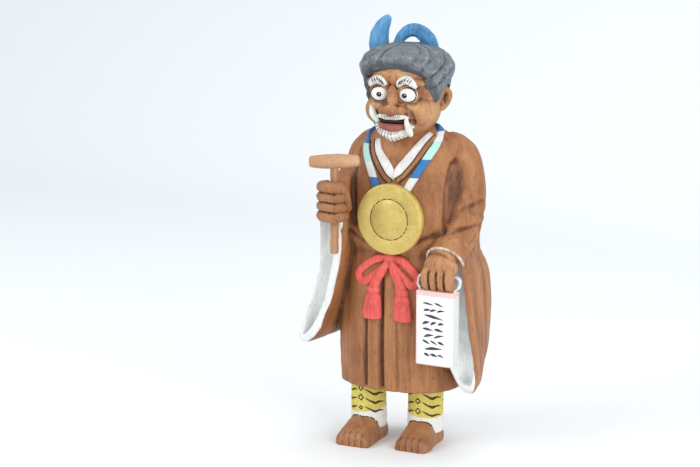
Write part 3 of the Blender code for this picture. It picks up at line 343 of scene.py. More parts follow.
def note_hollows(piece, rounds, reach=0.5):
    """Store on a piece's points how deep they lie in a hollow, or stand out on a ridge."""
    coords, normals = read_points(piece)
    links = np.empty(len(piece.data.edges) * 2, int)
    piece.data.edges.foreach_get("vertices", links)
    links = links.reshape(-1, 2)
    counts = np.maximum(np.bincount(links.ravel(), minlength=len(coords)), 1)
    even = averaged(coords, links, counts, rounds)
    depth = np.einsum("ij,ij->i", even - coords, normals) / reach
    depth = averaged(depth[:, None], links, counts, 1)[:, 0]
    for name, values in (("hollow", depth), ("ridge", -depth)):
        store(piece, name, np.clip(values, 0.0, 1.0))


def store(piece, name, values):
    """Keep one number per point on a piece, for its finish to read."""
    layer = piece.data.attributes.get(name) or piece.data.attributes.new(name, "FLOAT", "POINT")
    layer.data.foreach_set("value", np.ascontiguousarray(values, np.float32))


def stands(piece, finishes, slot, *nodes):
    """Move a finished piece to where the frame has the carving, and fasten it to the frame."""
    piece.data.transform(Matrix.Translation(STANDS_AT))
    if not piece.data.materials:
        for finish in finishes:
            piece.data.materials.append(finish)
    piece.data.shade_smooth()
    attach(piece, "root")
    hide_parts(*nodes)
    return piece


def group(name, sockets_in, sockets_out):
    """Empty node group, and the sockets inside it that bring values in and take them out."""
    tree = bpy.data.node_groups.new(name, "ShaderNodeTree")
    for side, sockets in (("INPUT", sockets_in), ("OUTPUT", sockets_out)):
        for label, kind in sockets:
            tree.interface.new_socket(label, in_out=side, socket_type="NodeSocket" + kind)
    return tree, tree.nodes.new("NodeGroupInput").outputs, tree.nodes.new("NodeGroupOutput").inputs


def sums(tree, operation, *values, clamp=False):
    """One math step on values or outputs."""
    step = node(tree, "Math", operation=operation, use_clamp=clamp)
    for i, value in enumerate(values):
        feed(tree, step.inputs[i], value)
    return step.outputs[0]


def eased_between(tree, value, low, high, to_low=0.0, to_high=1.0):
    """A value carried smoothly from one range to another."""
    return node(tree, "MapRange", {"Value": value, "From Min": low, "From Max": high,
                                   "To Min": to_low, "To Max": to_high},
                interpolation_type="SMOOTHSTEP").outputs["Result"]


def own_place(tree):
    """Coordinates that stay on the piece."""
    return node(tree, "TexCoord").outputs["Object"]


def stretched(tree, where, across, along):
    """Coordinates scaled differently across the grain and along it."""
    return node(tree, "Mapping", {"Vector": where, "Scale": (across, across, along)}).outputs[0]


def mark_on(tree, name):
    """Number that store() has kept on the points."""
    return node(tree, "Attribute", attribute_name=name).outputs["Fac"]


# Grain of the wood, for every bare part: growth bands, fine fibre and short dark pores
grain_tree, grain_in, grain_out = group(
    "wood_grain", [("Along", "Vector")],
    [("Bands", "Float"), ("Fibre", "Float"), ("Pores", "Float"), ("Height", "Float")])
bands = noise(grain_tree, 1.0, 3.0, stretched(grain_tree, grain_in["Along"], 150.0, 11.0),
              Distortion=0.35)
fibre = noise(grain_tree, 1.0, 4.0, stretched(grain_tree, grain_in["Along"], 1500.0, 60.0),
              Roughness=0.62)
pores = eased_between(grain_tree, noise(grain_tree, 1.0, 1.0, stretched(
    grain_tree, grain_in["Along"], 2300.0, 300.0)), 0.60, 0.72)
grain_height = sums(grain_tree, "SUBTRACT", fibre, sums(grain_tree, "MULTIPLY", pores, 0.8))
for label, value in (("Bands", bands), ("Fibre", fibre), ("Pores", pores),
                     ("Height", grain_height)):
    feed(grain_tree, grain_out[label], value)

# What hands and years add to any surface, grime in the hollows and wear on the ridges, together
# with painted shade in the hollows and painted highlight on the ridges
shade_and_wear_tree, shade_and_wear_in, shade_and_wear_out = group(
    "grime_shade_wear_and_highlight",
    [("Colour", "Color"), ("Grime and shade", "Color"), ("Bare and highlight", "Color"), ("Deep", "Float"),
     ("Wear and highlight", "Float")],
    [("Colour", "Color")])
patchy = noise(shade_and_wear_tree, 260.0, 5.0, own_place(shade_and_wear_tree), Roughness=0.6)
grime_and_shade_share = sums(shade_and_wear_tree, "MULTIPLY", sums(
    shade_and_wear_tree, "MULTIPLY", mark_on(shade_and_wear_tree, "hollow"), shade_and_wear_in["Deep"]),
    sums(shade_and_wear_tree, "ADD", patchy, 0.55), clamp=True)
wear_and_highlight_share = sums(shade_and_wear_tree, "MULTIPLY", sums(
    shade_and_wear_tree, "MULTIPLY", mark_on(shade_and_wear_tree, "ridge"), shade_and_wear_in["Wear and highlight"]),
    eased_between(shade_and_wear_tree, patchy, 0.40, 0.60), clamp=True)
grimed_and_shaded = blended(shade_and_wear_tree, grime_and_shade_share, shade_and_wear_in["Colour"], shade_and_wear_in["Grime and shade"])
feed(shade_and_wear_tree, shade_and_wear_out["Colour"], blended(shade_and_wear_tree, wear_and_highlight_share, grimed_and_shaded, shade_and_wear_in["Bare and highlight"]))


def bumped(tree, sockets, height, strength, deepest):
    """Fine relief on a finish, its deepest place in metres."""
    bump = node(tree, "Bump", {"Strength": strength, "Distance": deepest, "Height": height})
    feed(tree, sockets["Normal"], bump.outputs["Normal"])


def wood_finish(name, light, middle, dark, pore, lies=(0.0, 0.0, 0.0), deep=0.9):
    """Bare wood; lies turns its grain from upright, deep darkens its hollows with grime and painted
    shade.
    """
    finish, tree, sockets = new_finish(name)
    turned = node(tree, "Mapping", {"Vector": own_place(tree),
                                    "Rotation": tuple(map(math.radians, lies))}).outputs[0]
    grain = node(tree, "Group", node_tree=grain_tree)
    feed(tree, grain.inputs["Along"], turned)
    grain = grain.outputs
    tone = blended(tree, eased_between(tree, grain["Bands"], 0.32, 0.68), middle, light)
    for value, most in ((noise(tree, 34.0, 2.0, turned), 0.45), (grain["Fibre"], 0.5)):
        tone = blended(tree, eased_between(tree, value, 0.42, 0.75, 0.0, most), tone, dark)
    tone = blended(tree, sums(tree, "MULTIPLY", grain["Pores"], 0.55), tone, pore)
    grime_shade_and_wear = node(tree, "Group", node_tree=shade_and_wear_tree)
    for label, value in (("Colour", tone), ("Grime and shade", pore), ("Bare and highlight", light), ("Deep", deep),
                         ("Wear and highlight", 0.55)):
        feed(tree, grime_shade_and_wear.inputs[label], value)
    feed(tree, sockets["Base Color"], grime_shade_and_wear.outputs["Colour"])
    feed(tree, sockets["Roughness"], eased_between(tree, grain["Fibre"], 0.3, 0.7, 0.43, 0.62))
    bumped(tree, sockets, grain["Height"], 0.16, 0.0004)
    sockets["Specular IOR Level"].default_value = 0.35
    return finish


WOOD_LIGHT = (0.43, 0.192, 0.076, 1.0)
WOOD_MIDDLE = (0.31, 0.120, 0.043, 1.0)
WOOD_DARK = (0.165, 0.054, 0.020, 1.0)
WOOD_PORE = (0.065, 0.020, 0.009, 1.0)

# level sections of the robe: height, middle across and in depth, half-width, front, back,
# squareness
ROBE = [
    (37.2, -5, 0, 38.8, 28.6, 26.5, 2.3), (48, -5, 0, 39.6, 29, 27, 2.3),
    (70, -5, 0, 40, 29.5, 27.5, 2.3), (95, -4, 0, 39.5, 29, 27.5, 2.3),
    (115, -3, 0, 38.5, 28, 27, 2.4), (124, -2, 0, 37.5, 27, 26.5, 2.6),
    (129, -1.5, 0, 38.2, 29.2, 27.5, 2.9), (140, -0.5, 0, 38.6, 30, 28, 3.3),
    (155, 0, 0, 38.4, 29, 28, 3.4), (170, 0, 0, 37.6, 26.5, 27, 3.1),
    (180, 0, 0, 35.5, 23.5, 25, 2.5), (188, 0, -1, 30, 20.5, 21, 2.3),
    (194, 0, -2, 22.5, 17, 16.5, 2.1), (199, 0, -3, 15.5, 14, 12, 2.0),
]
# Level sections of the sleeves: height, outer side at the front and the back, body side at the
# front and the back, front, back
RIGHT_SLEEVE = [
    (62.3, -58.6, -53.5, -56.4, -50.5, -32, 5), (63.6, -60.2, -54.3, -53.0, -47.5, -35.2, 8),
    (66.5, -61.0, -54.8, -48.6, -45, -35.9, 9.5), (71, -60.4, -54.5, -44.6, -42, -36.3, 10.5),
    (80, -57.2, -52.3, -39.6, -38.5, -36.8, 11), (92, -52.6, -49.5, -34.6, -35, -37.5, 11),
    (105, -48.2, -47, -30.8, -32, -38, 11), (118, -46.0, -45.3, -27.6, -30, -38.3, 11),
    (141, -45.3, -43.2, -25.6, -28, -38.6, 10), (156, -43.4, -40.6, -25.2, -26, -36, 9),
    (168, -40, -38, -25.5, -26, -27, 7), (176, -37, -36, -25.5, -26, -14, 4),
]
LEFT_SLEEVE = [
    (38.6, 48.5, 45.0, 45.5, 40, -14, 4), (40.2, 51.5, 45.4, 47.2, 37, -19, 7),
    (43, 55.2, 45.8, 46.4, 35, -24, 9), (47, 57.3, 46, 43, 33.3, -25.2, 10.5),
    (53, 57.6, 46.4, 38.6, 31.5, -25.7, 12.5), (61, 56.4, 47.2, 34.6, 30, -26.3, 17),
    (78, 53.3, 48.4, 30.5, 29, -27.3, 20), (97, 50.9, 48.8, 27.6, 29, -28.3, 20.6),
    (115, 49.2, 46.4, 25.8, 28, -29, 18), (123, 48.0, 43.2, 25.6, 28, -29.2, 15),
    (129, 45.6, 42.6, 28, 28, -27, 14), (138, 45.0, 43.6, 28.5, 28, -20, 13.5),
    (150, 44.2, 44.2, 30.5, 30, -9, 12.5),
]


def at_height(stations, height):
    """Smooth values of a row of stations at a height, which is each station's first number."""
    rows = np.array(stations, float)
    keys = rows[:, 0]
    slopes = np.gradient(rows[:, 1:], keys, axis=0)
    i = int(np.clip(np.searchsorted(keys, height) - 1, 0, len(keys) - 2))
    span = keys[i + 1] - keys[i]
    t = min(max((height - keys[i]) / span, 0.0), 1.0)
    start = ((2 * t ** 3 - 3 * t ** 2 + 1) * rows[i, 1:]
             + (t ** 3 - 2 * t ** 2 + t) * span * slopes[i])
    end = (3 * t ** 2 - 2 * t ** 3) * rows[i + 1, 1:] + (t ** 3 - t ** 2) * span * slopes[i + 1]
    return start + end


def robe_ring(height, inset=0.0, count=120):
    """Level section of the robe's body, drawn in by an inset."""
    cx, cy, half, front, back, power = at_height(ROBE, height)
    ring = []
    for i in range(count):
        c, s = math.cos(2 * math.pi * i / count), math.sin(2 * math.pi * i / count)
        x = squared(c, 2 / power) * (half - inset)
        y = squared(s, 2 / power) * ((back if s > 0 else front) - inset)
        ring.append((cx + x, cy + y, height))
    return ring


# how far behind its roundest place a sleeve's front is cut flat
CUT_FLAT = 1.6


def sleeve_ring(stations, height, walls=(0.0, 0.0), mouth=0.0, depth=None, count=72):
    """Level section of a sleeve, drawn in by its walls; a mouth carries it on forwards."""
    out_front, out_back, in_front, in_back, front, back = at_height(stations, height)
    side = math.copysign(1.0, out_front)
    run = back - front
    if depth is not None:
        back = front + depth
    ring = []
    for i in range(count):
        c, s = math.cos(2 * math.pi * i / count), math.sin(2 * math.pi * i / count)
        across, deep = squared(c, 0.55), squared(s, 0.55)
        y = front + (back - front) * (deep + 1) / 2
        if deep < 0:
            y = max(y, front + CUT_FLAT) - mouth * min(1.0, -deep * 1.4)
        share = min(max((y - front) / run, -0.3), 1.0)
        x_outer = out_front + (out_back - out_front) * share - side * walls[0]
        x_inner = in_front + (in_back - in_front) * share + side * walls[1]
        ring.append(((x_outer + x_inner) / 2 + (x_outer - x_inner) / 2 * across, y, height))
    return ring


def sleeve_bag(name, stations):
    """A hanging sleeve before it is hollowed, with its lower end rounded."""
    low = [stations[0][0], (stations[0][0] + stations[1][0]) / 2, stations[1][0], stations[2][0]]
    levels = [h for h in np.linspace(stations[0][0], stations[-1][0], 60) if h > low[-1] + 0.6]
    return skin_through(name, [sleeve_ring(stations, h) for h in low + levels])


def sleeve_hollow(name, stations, rim, bottom, top, depth):
    """Form of the hollow that is cut into a sleeve from its front."""
    rings = []
    for height in np.linspace(bottom, top, 46):
        share = (height - bottom) / (top - bottom)
        drawn = max(0.0, 1.0 - share * 7.0) * 2.2 + max(0.0, 1.0 - (1.0 - share) * 9.0) * 2.0
        rings.append(sleeve_ring(stations, height, (1.9 + drawn, rim + drawn), 8.0, depth, 56))
    return skin_through(name, rings)


hem_up = [37.2, 38.0] + list(np.linspace(40.2, 199, 90))
robe = one_block("robe", [
    skin_through("skirt", [robe_ring(h, 1.2 if h == 37.2 else 0.0) for h in hem_up]),
    sleeve_bag("right sleeve", RIGHT_SLEEVE),
    sleeve_bag("left sleeve", LEFT_SLEEVE),
    round_bar("right arm", [(-20, 1, 187, 10), (-28.5, 2, 178, 12.5), (-33.5, 3, 163, 11.5),
                            (-36, 0, 149, 10.6), (-36, -12, 146, 9.2), (-34, -28, 150, 8)]),
    round_bar("left arm", [(20, 2, 189, 9), (29, 3, 180, 13.5), (34.5, 4, 166, 12.2),
                           (36.5, 3, 150, 11), (37, -4, 139, 10.8), (36.6, -15, 131, 11.2),
                           (36.3, -26.5, 122.5, 11.4)]),
    round_bar("left elbow folds", [(34.5, -3, 162, 8), (34, -7, 152, 9.6), (33.5, -11, 142, 10.6),
                                   (33.5, -17, 131, 10.6)]),
    round_bar("neck", [(0, -4, 180, 13), (0, -5, 190, 12.5), (0, -5, 204, 12.5)]),
    round_bar("right shoulder", [(-12, 0, 188.5, 9), (-21, 1, 185.5, 9.5), (-29, 2, 180, 10)]),
    round_bar("left shoulder", [(12, 0, 189.5, 9), (21, 1, 186.5, 9.5), (29, 2, 181, 10)]),
], 0.85)

# Pleats of the skirt: place across, top, depth, half-width, how sharp
PLEATS = [
    (-41, 120, 1.0, 3.2, 1.0), (-31, 112, 0.5, 3.0, 1.0), (-16.2, 100, 3.0, 2.4, 1.4),
    (-5.0, 118, 4.0, 2.7, 1.4), (5.6, 92, 1.2, 1.5, 1.3), (8.2, 84, 0.4, 1.0, 1.0),
    (13.0, 86, 0.7, 1.3, 1.2), (20.5, 78, 0.5, 1.5, 1.0), (29.0, 84, 0.7, 2.6, 1.0),
]
# Folds that the knife cut into the front of the blouse and the left arm: way, half-width, depth,
# half-width on the other side
FRONT_FOLDS = [
    ([(33.2, 180), (33.4, 165), (33.4, 150), (33.2, 137)], 1.1, 2.2, 3.2),
    ([(37.6, 148), (42, 152.5), (48, 156.0)], 3.4, 1.5, 1.2),
    ([(34.5, 136.5), (40, 140.5), (47, 142.0)], 3.0, 1.8, 1.2),
    ([(12, 129), (20, 133.0), (28, 136), (35, 139.5)], 1.5, 2.4, 3.6),
    ([(-12, 128), (-20, 131), (-28, 136)], 2.3, 1.5, 2.3),
    ([(-27, 184), (-26, 170), (-24.5, 154), (-23.5, 140)], 2.6, 2.2, 2.6),
]
BACK_FOLDS = [
    ([(37, 128), (33, 142), (31, 160)], 3.0, 2.2),
    ([(-37, 128), (-33, 142), (-31, 160)], 3.0, 2.2),
    ([(0, 124), (0, 150), (0, 176)], 5.0, 1.2),
    ([(-26, 124), (-10, 121), (10, 121), (26, 124)], 3.0, 1.4),
]
SIDE_FOLDS = [
    ([(-20, 118), (-14, 86), (-12, 52)], 3.4, 0.5), ([(2, 122), (2, 92), (0, 60)], 3.4, 0.6),
    ([(-8, 150), (2, 146), (12, 148)], 2.6, 0.7), ([(-22, 132), (-12, 134), (-2, 140)], 2.2, 0.8),
]
coords, normals = read_points(robe)
coords = whittled(coords, normals, (8.0, 8.0, 22.0), 0.6, 3)


def over(values, low, high):
    """Share from 0 to 1 as values go from one limit to the other."""
    return np.clip((values - low) / (high - low), 0.0, 1.0)


# the chest ends in a crisp upright edge, from which a flat wall falls back to the left arm
WALL = np.array((0.931, -0.366))
WALL_EDGE = np.array((33.4, -21.2))
beyond = np.maximum((coords[:, :2] - WALL_EDGE) @ WALL, 0.0)
beyond *= over(coords[:, 2], 140.0, 145.0) * over(coords[:, 2], 183.0, 178.0)
beyond *= (coords[:, 0] > 30.0) & (coords[:, 0] < 39.5) & (coords[:, 1] < -7.0)
coords[:, :2] -= beyond[:, None] * WALL
FRONT, BACK = (0.0, -1.0, 0.0), (0.0, 1.0, 0.0)
LEFT_ARM_SIDE = (0.5, -0.87, 0.0)
for place, top, depth, width, sharp in PLEATS:
    sway = 0.06 * (place + 5)
    way = [(place - sway * 0.5, top), (place, 60), (place + sway * 0.5, 34)]
    fade = np.clip((top - coords[:, 2]) / 16.0, 0.0, 1.0)[:, None]
    front = scored(coords, normals, way, width, depth, sharp=sharp)
    behind = scored(coords, normals, way, width * 1.4, depth * 0.8, facing=BACK)
    coords = coords + (front - coords) * fade + (behind - coords) * fade
for way, width, depth, slope in FRONT_FOLDS:
    facing = LEFT_ARM_SIDE if way[0][0] > 30 else FRONT
    coords = scored(coords, normals, smooth_way(way, 5), width, depth, facing=facing, slope=slope)
for way, width, depth in BACK_FOLDS:
    coords = scored(coords, normals, smooth_way(way, 5), width, depth, facing=BACK)
for way, width, depth in SIDE_FOLDS:
    for side in (1.0, -1.0):
        coords = scored(coords, normals, smooth_way(way, 5), width, depth, "yz", (side, 0.0, 0.0))
move_points(robe, coords)
note_hollows(robe, 14, 0.7)
coords, normals = read_points(robe)


def sleeve_front(stations, x, z):
    """Signed distance in millimetres to the edge of a sleeve's flat front face, and its depth."""
    levels = np.linspace(stations[0][0], stations[-2][0], 60)
    values = np.array([at_height(stations, level) for level in levels])
    outer, inner, front = (np.interp(z, levels, values[:, k]) for k in (0, 2, 4))
    side = math.copysign(1.0, stations[0][1])
    return np.minimum(side * (outer - x), side * (x - inner) + CUT_FLAT), front


# White lime paint on the sleeves' front rims, kept as a signed distance so its edge is crisp
painted = np.full(len(coords), -9.0)
for stations, low, high in ((RIGHT_SLEEVE, 61.0, 150.0), (LEFT_SLEEVE, 37.0, 117.0)):
    inside, front = sleeve_front(stations, coords[:, 0], coords[:, 2])
    area = np.minimum(inside - 0.9, (front + 3.2 - coords[:, 1]) * 1.6)
    area = np.minimum(area, np.minimum(coords[:, 2] - low, high - coords[:, 2]))
    area = np.minimum(area, (-normals[:, 1] - 0.30) * 4.0)
    painted = np.maximum(painted, area)
store(robe, "painted", painted)
# painted shade on the wall between the chest and the left arm, kept with the hollows
hollow = np.empty(len(coords), np.float32)
robe.data.attributes["hollow"].data.foreach_get("value", hollow)
shade = over(coords[:, 0], 33.0, 33.8) * over(coords[:, 0], 41.5, 37.5)
shade *= over(coords[:, 2], 146.0, 158.0) * over(coords[:, 2], 181.0, 173.0)
shade *= over(coords[:, 1], -6.0, -9.0)
store(robe, "hollow", np.maximum(hollow, shade))

robe_wood = wood_finish("brown_robe_wood", WOOD_LIGHT, WOOD_MIDDLE, WOOD_DARK, WOOD_PORE,
                        deep=0.75)


def chalk_nodes(tree, colour, shadow, speckle):
    """Colour of old matt paint made from pigment and glue, with faint brush marks."""
    where = own_place(tree)
    marks = noise(tree, 1.0, 4.0, stretched(tree, where, 700.0, 160.0))
    tone = blended(tree, eased_between(tree, marks, 0.35, 0.75, 0.0, speckle), colour, shadow)
    cloud = noise(tree, 120.0, 3.0, where)
    tone = blended(tree, eased_between(tree, cloud, 0.45, 0.75, 0.0, speckle), tone, shadow)
    return tone, marks


def ragged(tree, value, scale, most):
    """A value made uneven, as a brush leaves the edge of a colour."""
    swing = sums(tree, "SUBTRACT", noise(tree, scale, 2.0), 0.5)
    return sums(tree, "ADD", value, sums(tree, "MULTIPLY", swing, most))


def last_colour(finish, kind="BSDF_PRINCIPLED", label="Base Color"):
    """Tree of a finish, the colour that its shader gets, and the socket that takes it."""
    socket = next(n for n in finish.node_tree.nodes if n.type == kind).inputs[label]
    return finish.node_tree, socket.links[0].from_socket, socket


# The robe's wood turns to white paint where the rims are painted, with a brown line at the edge
tree, wood_colour, base = last_colour(robe_wood)
edge = ragged(tree, mark_on(tree, "painted"), 600.0, 0.5)
white_tone, _ = chalk_nodes(tree, (0.80, 0.80, 0.78, 1.0), (0.60, 0.61, 0.60, 1.0), 0.5)
outlined = blended(tree, eased_between(tree, edge, -0.55, -0.25, 0.0, 0.75), wood_colour,
                   (0.10, 0.045, 0.028, 1.0))
feed(tree, base, blended(tree, eased_between(tree, edge, -0.1, 0.1), outlined, white_tone))

sleeve_lining, tree, sockets = new_finish("sleeve_lining")
lining_tone, lining_marks = chalk_nodes(tree, (0.92, 0.93, 0.91, 1.0), (0.72, 0.74, 0.73, 1.0), 0.8)
feed(tree, sockets["Base Color"], lining_tone)
bumped(tree, sockets, lining_marks, 0.25, 0.0003)
sockets["Roughness"].default_value = 0.85


def cut_away(piece, tool, finish):
    """Cut a form out of a piece and line the cut with a finish; the tool is used up."""
    tool.data.materials.append(finish)
    cut = piece.modifiers.new("cut", "BOOLEAN")
    cut.operation = "DIFFERENCE"
    cut.solver = "MANIFOLD"
    cut.material_mode = "TRANSFER"
    cut.object = tool
    settled(piece)
    bpy.data.objects.remove(tool, do_unlink=True)


robe.data.materials.append(robe_wood)
for name, *form in (("right hollow", RIGHT_SLEEVE, 6.2, 68.0, 158.0, 13.0),
                    ("left hollow", LEFT_SLEEVE, 2.6, 46.5, 129.0, 9.0)):
    cut_away(robe, one_block(name, [sleeve_hollow(name, *form)], 0.8), sleeve_lining)


def skin_tree(piece):
    """Search tree of a piece's skin, to lay other things on it."""
    shape = bmesh.new()
    shape.from_mesh(piece.data)
    tree_of_skin = BVHTree.FromBMesh(shape)
    shape.free()
    return tree_of_skin


robe_skin = skin_tree(robe)
stands(robe, [], "carved_wood", "figure")


# Straps, white collar and brown lapels.
# Raised bands of the same block, painted in flat colours: the gong hangs on two padded straps
# that run over the shoulders to the nape, beside a white under-collar that crosses in a V.
def widths(rows):
    """Half-widths of a smoothed way of x, z and half-width."""
    return [row[2] for row in rows]


def ways_across(places):
    """For each place the direction across the way, and the way it faces, at right angles."""
    turned = []
    for i, (here, out) in enumerate(places):
        run = places[min(i + 1, len(places) - 1)][0] - places[max(i - 1, 0)][0]
        across = run.cross(out).normalized()
        turned.append((here, across, across.cross(run).normalized()))
    return turned


def laid_band(name, places, halves, rise, sink=2.0, square=0.45):
    """Band laid along places on a skin; square is 1 for a round top and less for a flat one."""
    rings = []
    for (here, across, out), half in zip(ways_across(places), halves):
        ring = []
        for a in full_turn(20):
            c, s = math.cos(a), math.sin(a)
            up = (rise if s > 0 else sink) * squared(s, square)
            ring.append(here + across * (squared(c, square) * half) + out * up)
        rings.append(ring)
    return skin_through(name, rings)


def brushed(name, strokes, rise, sink):
    """Brush strokes of paint, each a row of places and its half-widths; rise and sink are how
    far they stand above the skin and reach into it."""
    shape = bmesh.new()
    for places, halves in strokes:
        rows = []
        for (here, across, out), half in zip(ways_across(places), halves):
            rows.append([shape.verts.new(point * MM) for point in (
                here + across * half, here + out * rise, here - across * half, here - out * sink)])
        for one, other in zip(rows, rows[1:]):
            for i in range(4):
                j = (i + 1) % 4
                shape.faces.new((one[i], one[j], other[j], other[i]))
        shape.faces.new(rows[0][::-1])
        shape.faces.new(rows[-1])
    return new_piece(name, shape)


def paint_finish(name, colour, shadow, bare_and_highlight, rough=0.72, speckle=0.6, deep=0.9, wear_and_highlight=0.5):
    """Matt pigment paint on wood: grime and painted shade in its hollows, wear and painted
    highlight on its ridges.
    """
    finish, tree, sockets = new_finish(name)
    tone, marks = chalk_nodes(tree, colour, shadow, speckle)
    grime_shade_and_wear = node(tree, "Group", node_tree=shade_and_wear_tree)
    grime_and_shade_colour = tuple(0.25 * c for c in shadow[:3]) + (1.0,)
    for label, value in (("Colour", tone), ("Grime and shade", grime_and_shade_colour), ("Bare and highlight", bare_and_highlight), ("Deep", deep),
                         ("Wear and highlight", wear_and_highlight)):
        feed(tree, grime_shade_and_wear.inputs[label], value)
    feed(tree, sockets["Base Color"], grime_shade_and_wear.outputs["Colour"])
    bumped(tree, sockets, marks, 0.2, 0.0003)
    feed(tree, sockets["Roughness"], eased_between(tree, marks, 0.3, 0.7, rough - 0.08,
                                                   rough + 0.1))
    sockets["Specular IOR Level"].default_value = 0.3
    return finish


STRAP_WAYS = {-1: [(-20.2, 187), (-18.4, 181), (-14.0, 173.5), (-8.4, 163), (-4, 156)],
              1: [(23.4, 188), (20.8, 182), (16.8, 173.5), (11.4, 163.5), (7.0, 156)]}
SHOULDER_WAY = [(0, 12.8, 196.6), (8, 11.0, 197.2), (15, 6.0, 197.4), (20.6, -1.5, 196.0),
                (23.0, -9, 192.4)]
COLLAR_WAYS = {-1: [(-12.6, 191, 2.0), (-10.4, 184.5, 2.4), (-4.8, 177.6, 2.9),
                    (-0.2, 172.4, 2.6), (2.6, 168.8, 0.5)],
               1: [(18.4, 195, 1.7), (14.8, 188.4, 2.3), (9.4, 180, 2.9), (4.6, 173.6, 2.8),
                   (1.8, 169.4, 0.5)]}
WHITE = (0.80, 0.80, 0.78, 1.0)
MINT = (0.50, 0.79, 0.73, 1.0)
BLUE = (0.045, 0.19, 0.46, 1.0)
# lower end of each colour on a strap, from the gong upwards
STRAP_COLOURS = {-1: [(0.0, BLUE), (169.4, WHITE), (177.6, MINT), (188.0, BLUE)],
                 1: [(0.0, WHITE), (170.8, BLUE), (181.6, MINT), (191.6, WHITE), (196.4, BLUE)]}
white_paint = paint_finish("white_lime_paint", WHITE, (0.52, 0.53, 0.52, 1.0), WOOD_LIGHT)
outline_paint = paint_finish("dark_outline_paint", (0.035, 0.020, 0.016, 1.0),
                             (0.075, 0.040, 0.026, 1.0), WOOD_DARK)


def robe_face(x, z):
    """Depth of the robe's smooth front, before its folds were cut."""
    cx, cy, half, front, _, power = at_height(ROBE, z)
    return cy - front * (1 - min(abs(x - cx) / half, 0.999) ** power) ** (1 / power)


def chest_places(way, lift=0.0):
    """Places on the robe's smooth front along a way of x, z and half-width, with the widths."""
    places, halves = [], []
    for x, z, half in smooth_way(way, 7):
        out = Vector((robe_face(x + 1, z) - robe_face(x - 1, z), -2.0,
                      robe_face(x, z + 1) - robe_face(x, z - 1))).normalized()
        places.append((Vector((x, robe_face(x, z), z)) + out * lift, out))
        halves.append(half)
    return places, halves


def beside(way, side, gap, half):
    """A way of x, z and half-width, moved outwards across the chest by a gap from its edge."""
    rows = smooth_way(way, 5)
    moved_rows = []
    for i, (x, z, wide) in enumerate(rows):
        one, other = rows[max(i - 1, 0)], rows[min(i + 1, len(rows) - 1)]
        run = Vector((other[0] - one[0], other[1] - one[1])).normalized()
        reach = min(max(wide, 1.7), 2.9) + gap
        moved_rows.append((x - side * run.y * reach, z + side * run.x * reach, half))
    return moved_rows[::3] + [moved_rows[-1]]


def part_of_him(piece, finish, slot, rounds=0, reach=0.5):
    """Fasten a finished piece as part of the one carved block."""
    if rounds:
        note_hollows(piece, rounds, reach)
    return stands(piece, [finish], slot, "figure")


STRAP_HALF = 2.4
lapel_wood = wood_finish("brown_lapel_wood", WOOD_LIGHT, WOOD_MIDDLE, WOOD_DARK, WOOD_PORE)
for side, label in ((-1, "right"), (1, "left")):
    nape = []
    for x, y, z in smooth_way([(side * x, y, z) for x, y, z in SHOULDER_WAY], 5):
        point, _, _, _ = robe_skin.find_nearest(Vector((x, y, z)) * MM)
        nape.append((Vector(point) / MM, Vector((x, y + 2.0, z - 180.0)).normalized()))
    chest, _ = chest_places([(x, z, STRAP_HALF) for x, z in STRAP_WAYS[side]])
    strap = laid_band(label + "_strap", nape + chest, [STRAP_HALF] * len(nape + chest), 1.6)
    strap_paint = paint_finish(label + "_strap_paint", WHITE, (0.5, 0.5, 0.5, 1.0), WHITE,
                               deep=0.5, wear_and_highlight=0.0)
    tree, chalky, taker = last_colour(strap_paint, "GROUP", "Colour")
    height = node(tree, "SeparateXYZ", {"Vector": own_place(tree)}).outputs["Z"]
    colour = STRAP_COLOURS[side][0][1]
    for low, tone in STRAP_COLOURS[side][1:]:
        colour = blended(tree, eased_between(tree, height, (low - 0.15) * MM, (low + 0.15) * MM),
                         colour, tone)
    feed(tree, taker, blended(tree, 0.45, colour, blended(tree, 1.0, colour, chalky, "MULTIPLY")))
    part_of_him(strap, strap_paint, "strap_paint", 3)
    collar = laid_band(label + "_collar", *chest_places(COLLAR_WAYS[side]), 1.2 + 0.3 * side)
    part_of_him(collar, white_paint, "white_paint", 3)
    # the brown lapel lies between the collar and the strap, with a dark line on each side
    lapel = laid_band(label + "_lapel", *chest_places(beside(COLLAR_WAYS[side], side, 1.7, 1.6)),
                      0.8)
    part_of_him(lapel, lapel_wood, "carved_wood", 2)
    lines = [chest_places(beside(COLLAR_WAYS[side], side, gap, half), 1.0)
             for gap, half in ((0.1, 0.22), (3.3, 0.40))]
    part_of_him(brushed(label + "_lapel_lines", lines, 0.30, 0.9), outline_paint, "carved_wood")
# the turned-up edge of the left cuff, with a little white paint left on it
cuff = round_bar("left_cuff_edge", [
    (36.3 + 11.3 * math.sin(a), -26.5 - 6.7 * math.cos(a), 122.5 + 9.1 * math.cos(a), 0.85)
    for a in np.linspace(-1.8, 1.8, 40)], 1, 12)
cuff_white = paint_finish("cuff_white", (0.62, 0.58, 0.52, 1.0), (0.30, 0.19, 0.12, 1.0),
                          WOOD_LIGHT, speckle=0.9)
part_of_him(cuff, cuff_white, "white_paint", 2)


# Head: one carved block with the body, its brown skin left as wood and toned with thin paint,
# painted shade and painted highlights.
# The bulging eyes, brows, moustache, beard and tusks are painted white over a little relief.
head_turn = Matrix.Translation((0, -4.5 * MM, 0)) @ Matrix.Rotation(math.radians(5.0), 4, "Z")


def on_head(piece, finish, slot, rounds=0, reach=0.5):
    """Turn a piece drawn beside the head's axis to where the head looks, and set it in place."""
    if rounds:
        note_hollows(piece, rounds, reach)
    piece.data.transform(head_turn)
    return part_of_him(piece, finish, slot)


def knife_finished(piece, coords, normals, facet, strength, seed, rounds=3, reach=0.5):
    """Give a piece the last facets of the knife, and note where its hollows lie."""
    coords = whittled(coords, normals, facet, strength, seed)
    move_points(piece, coords)
    note_hollows(piece, rounds, reach)
    return coords


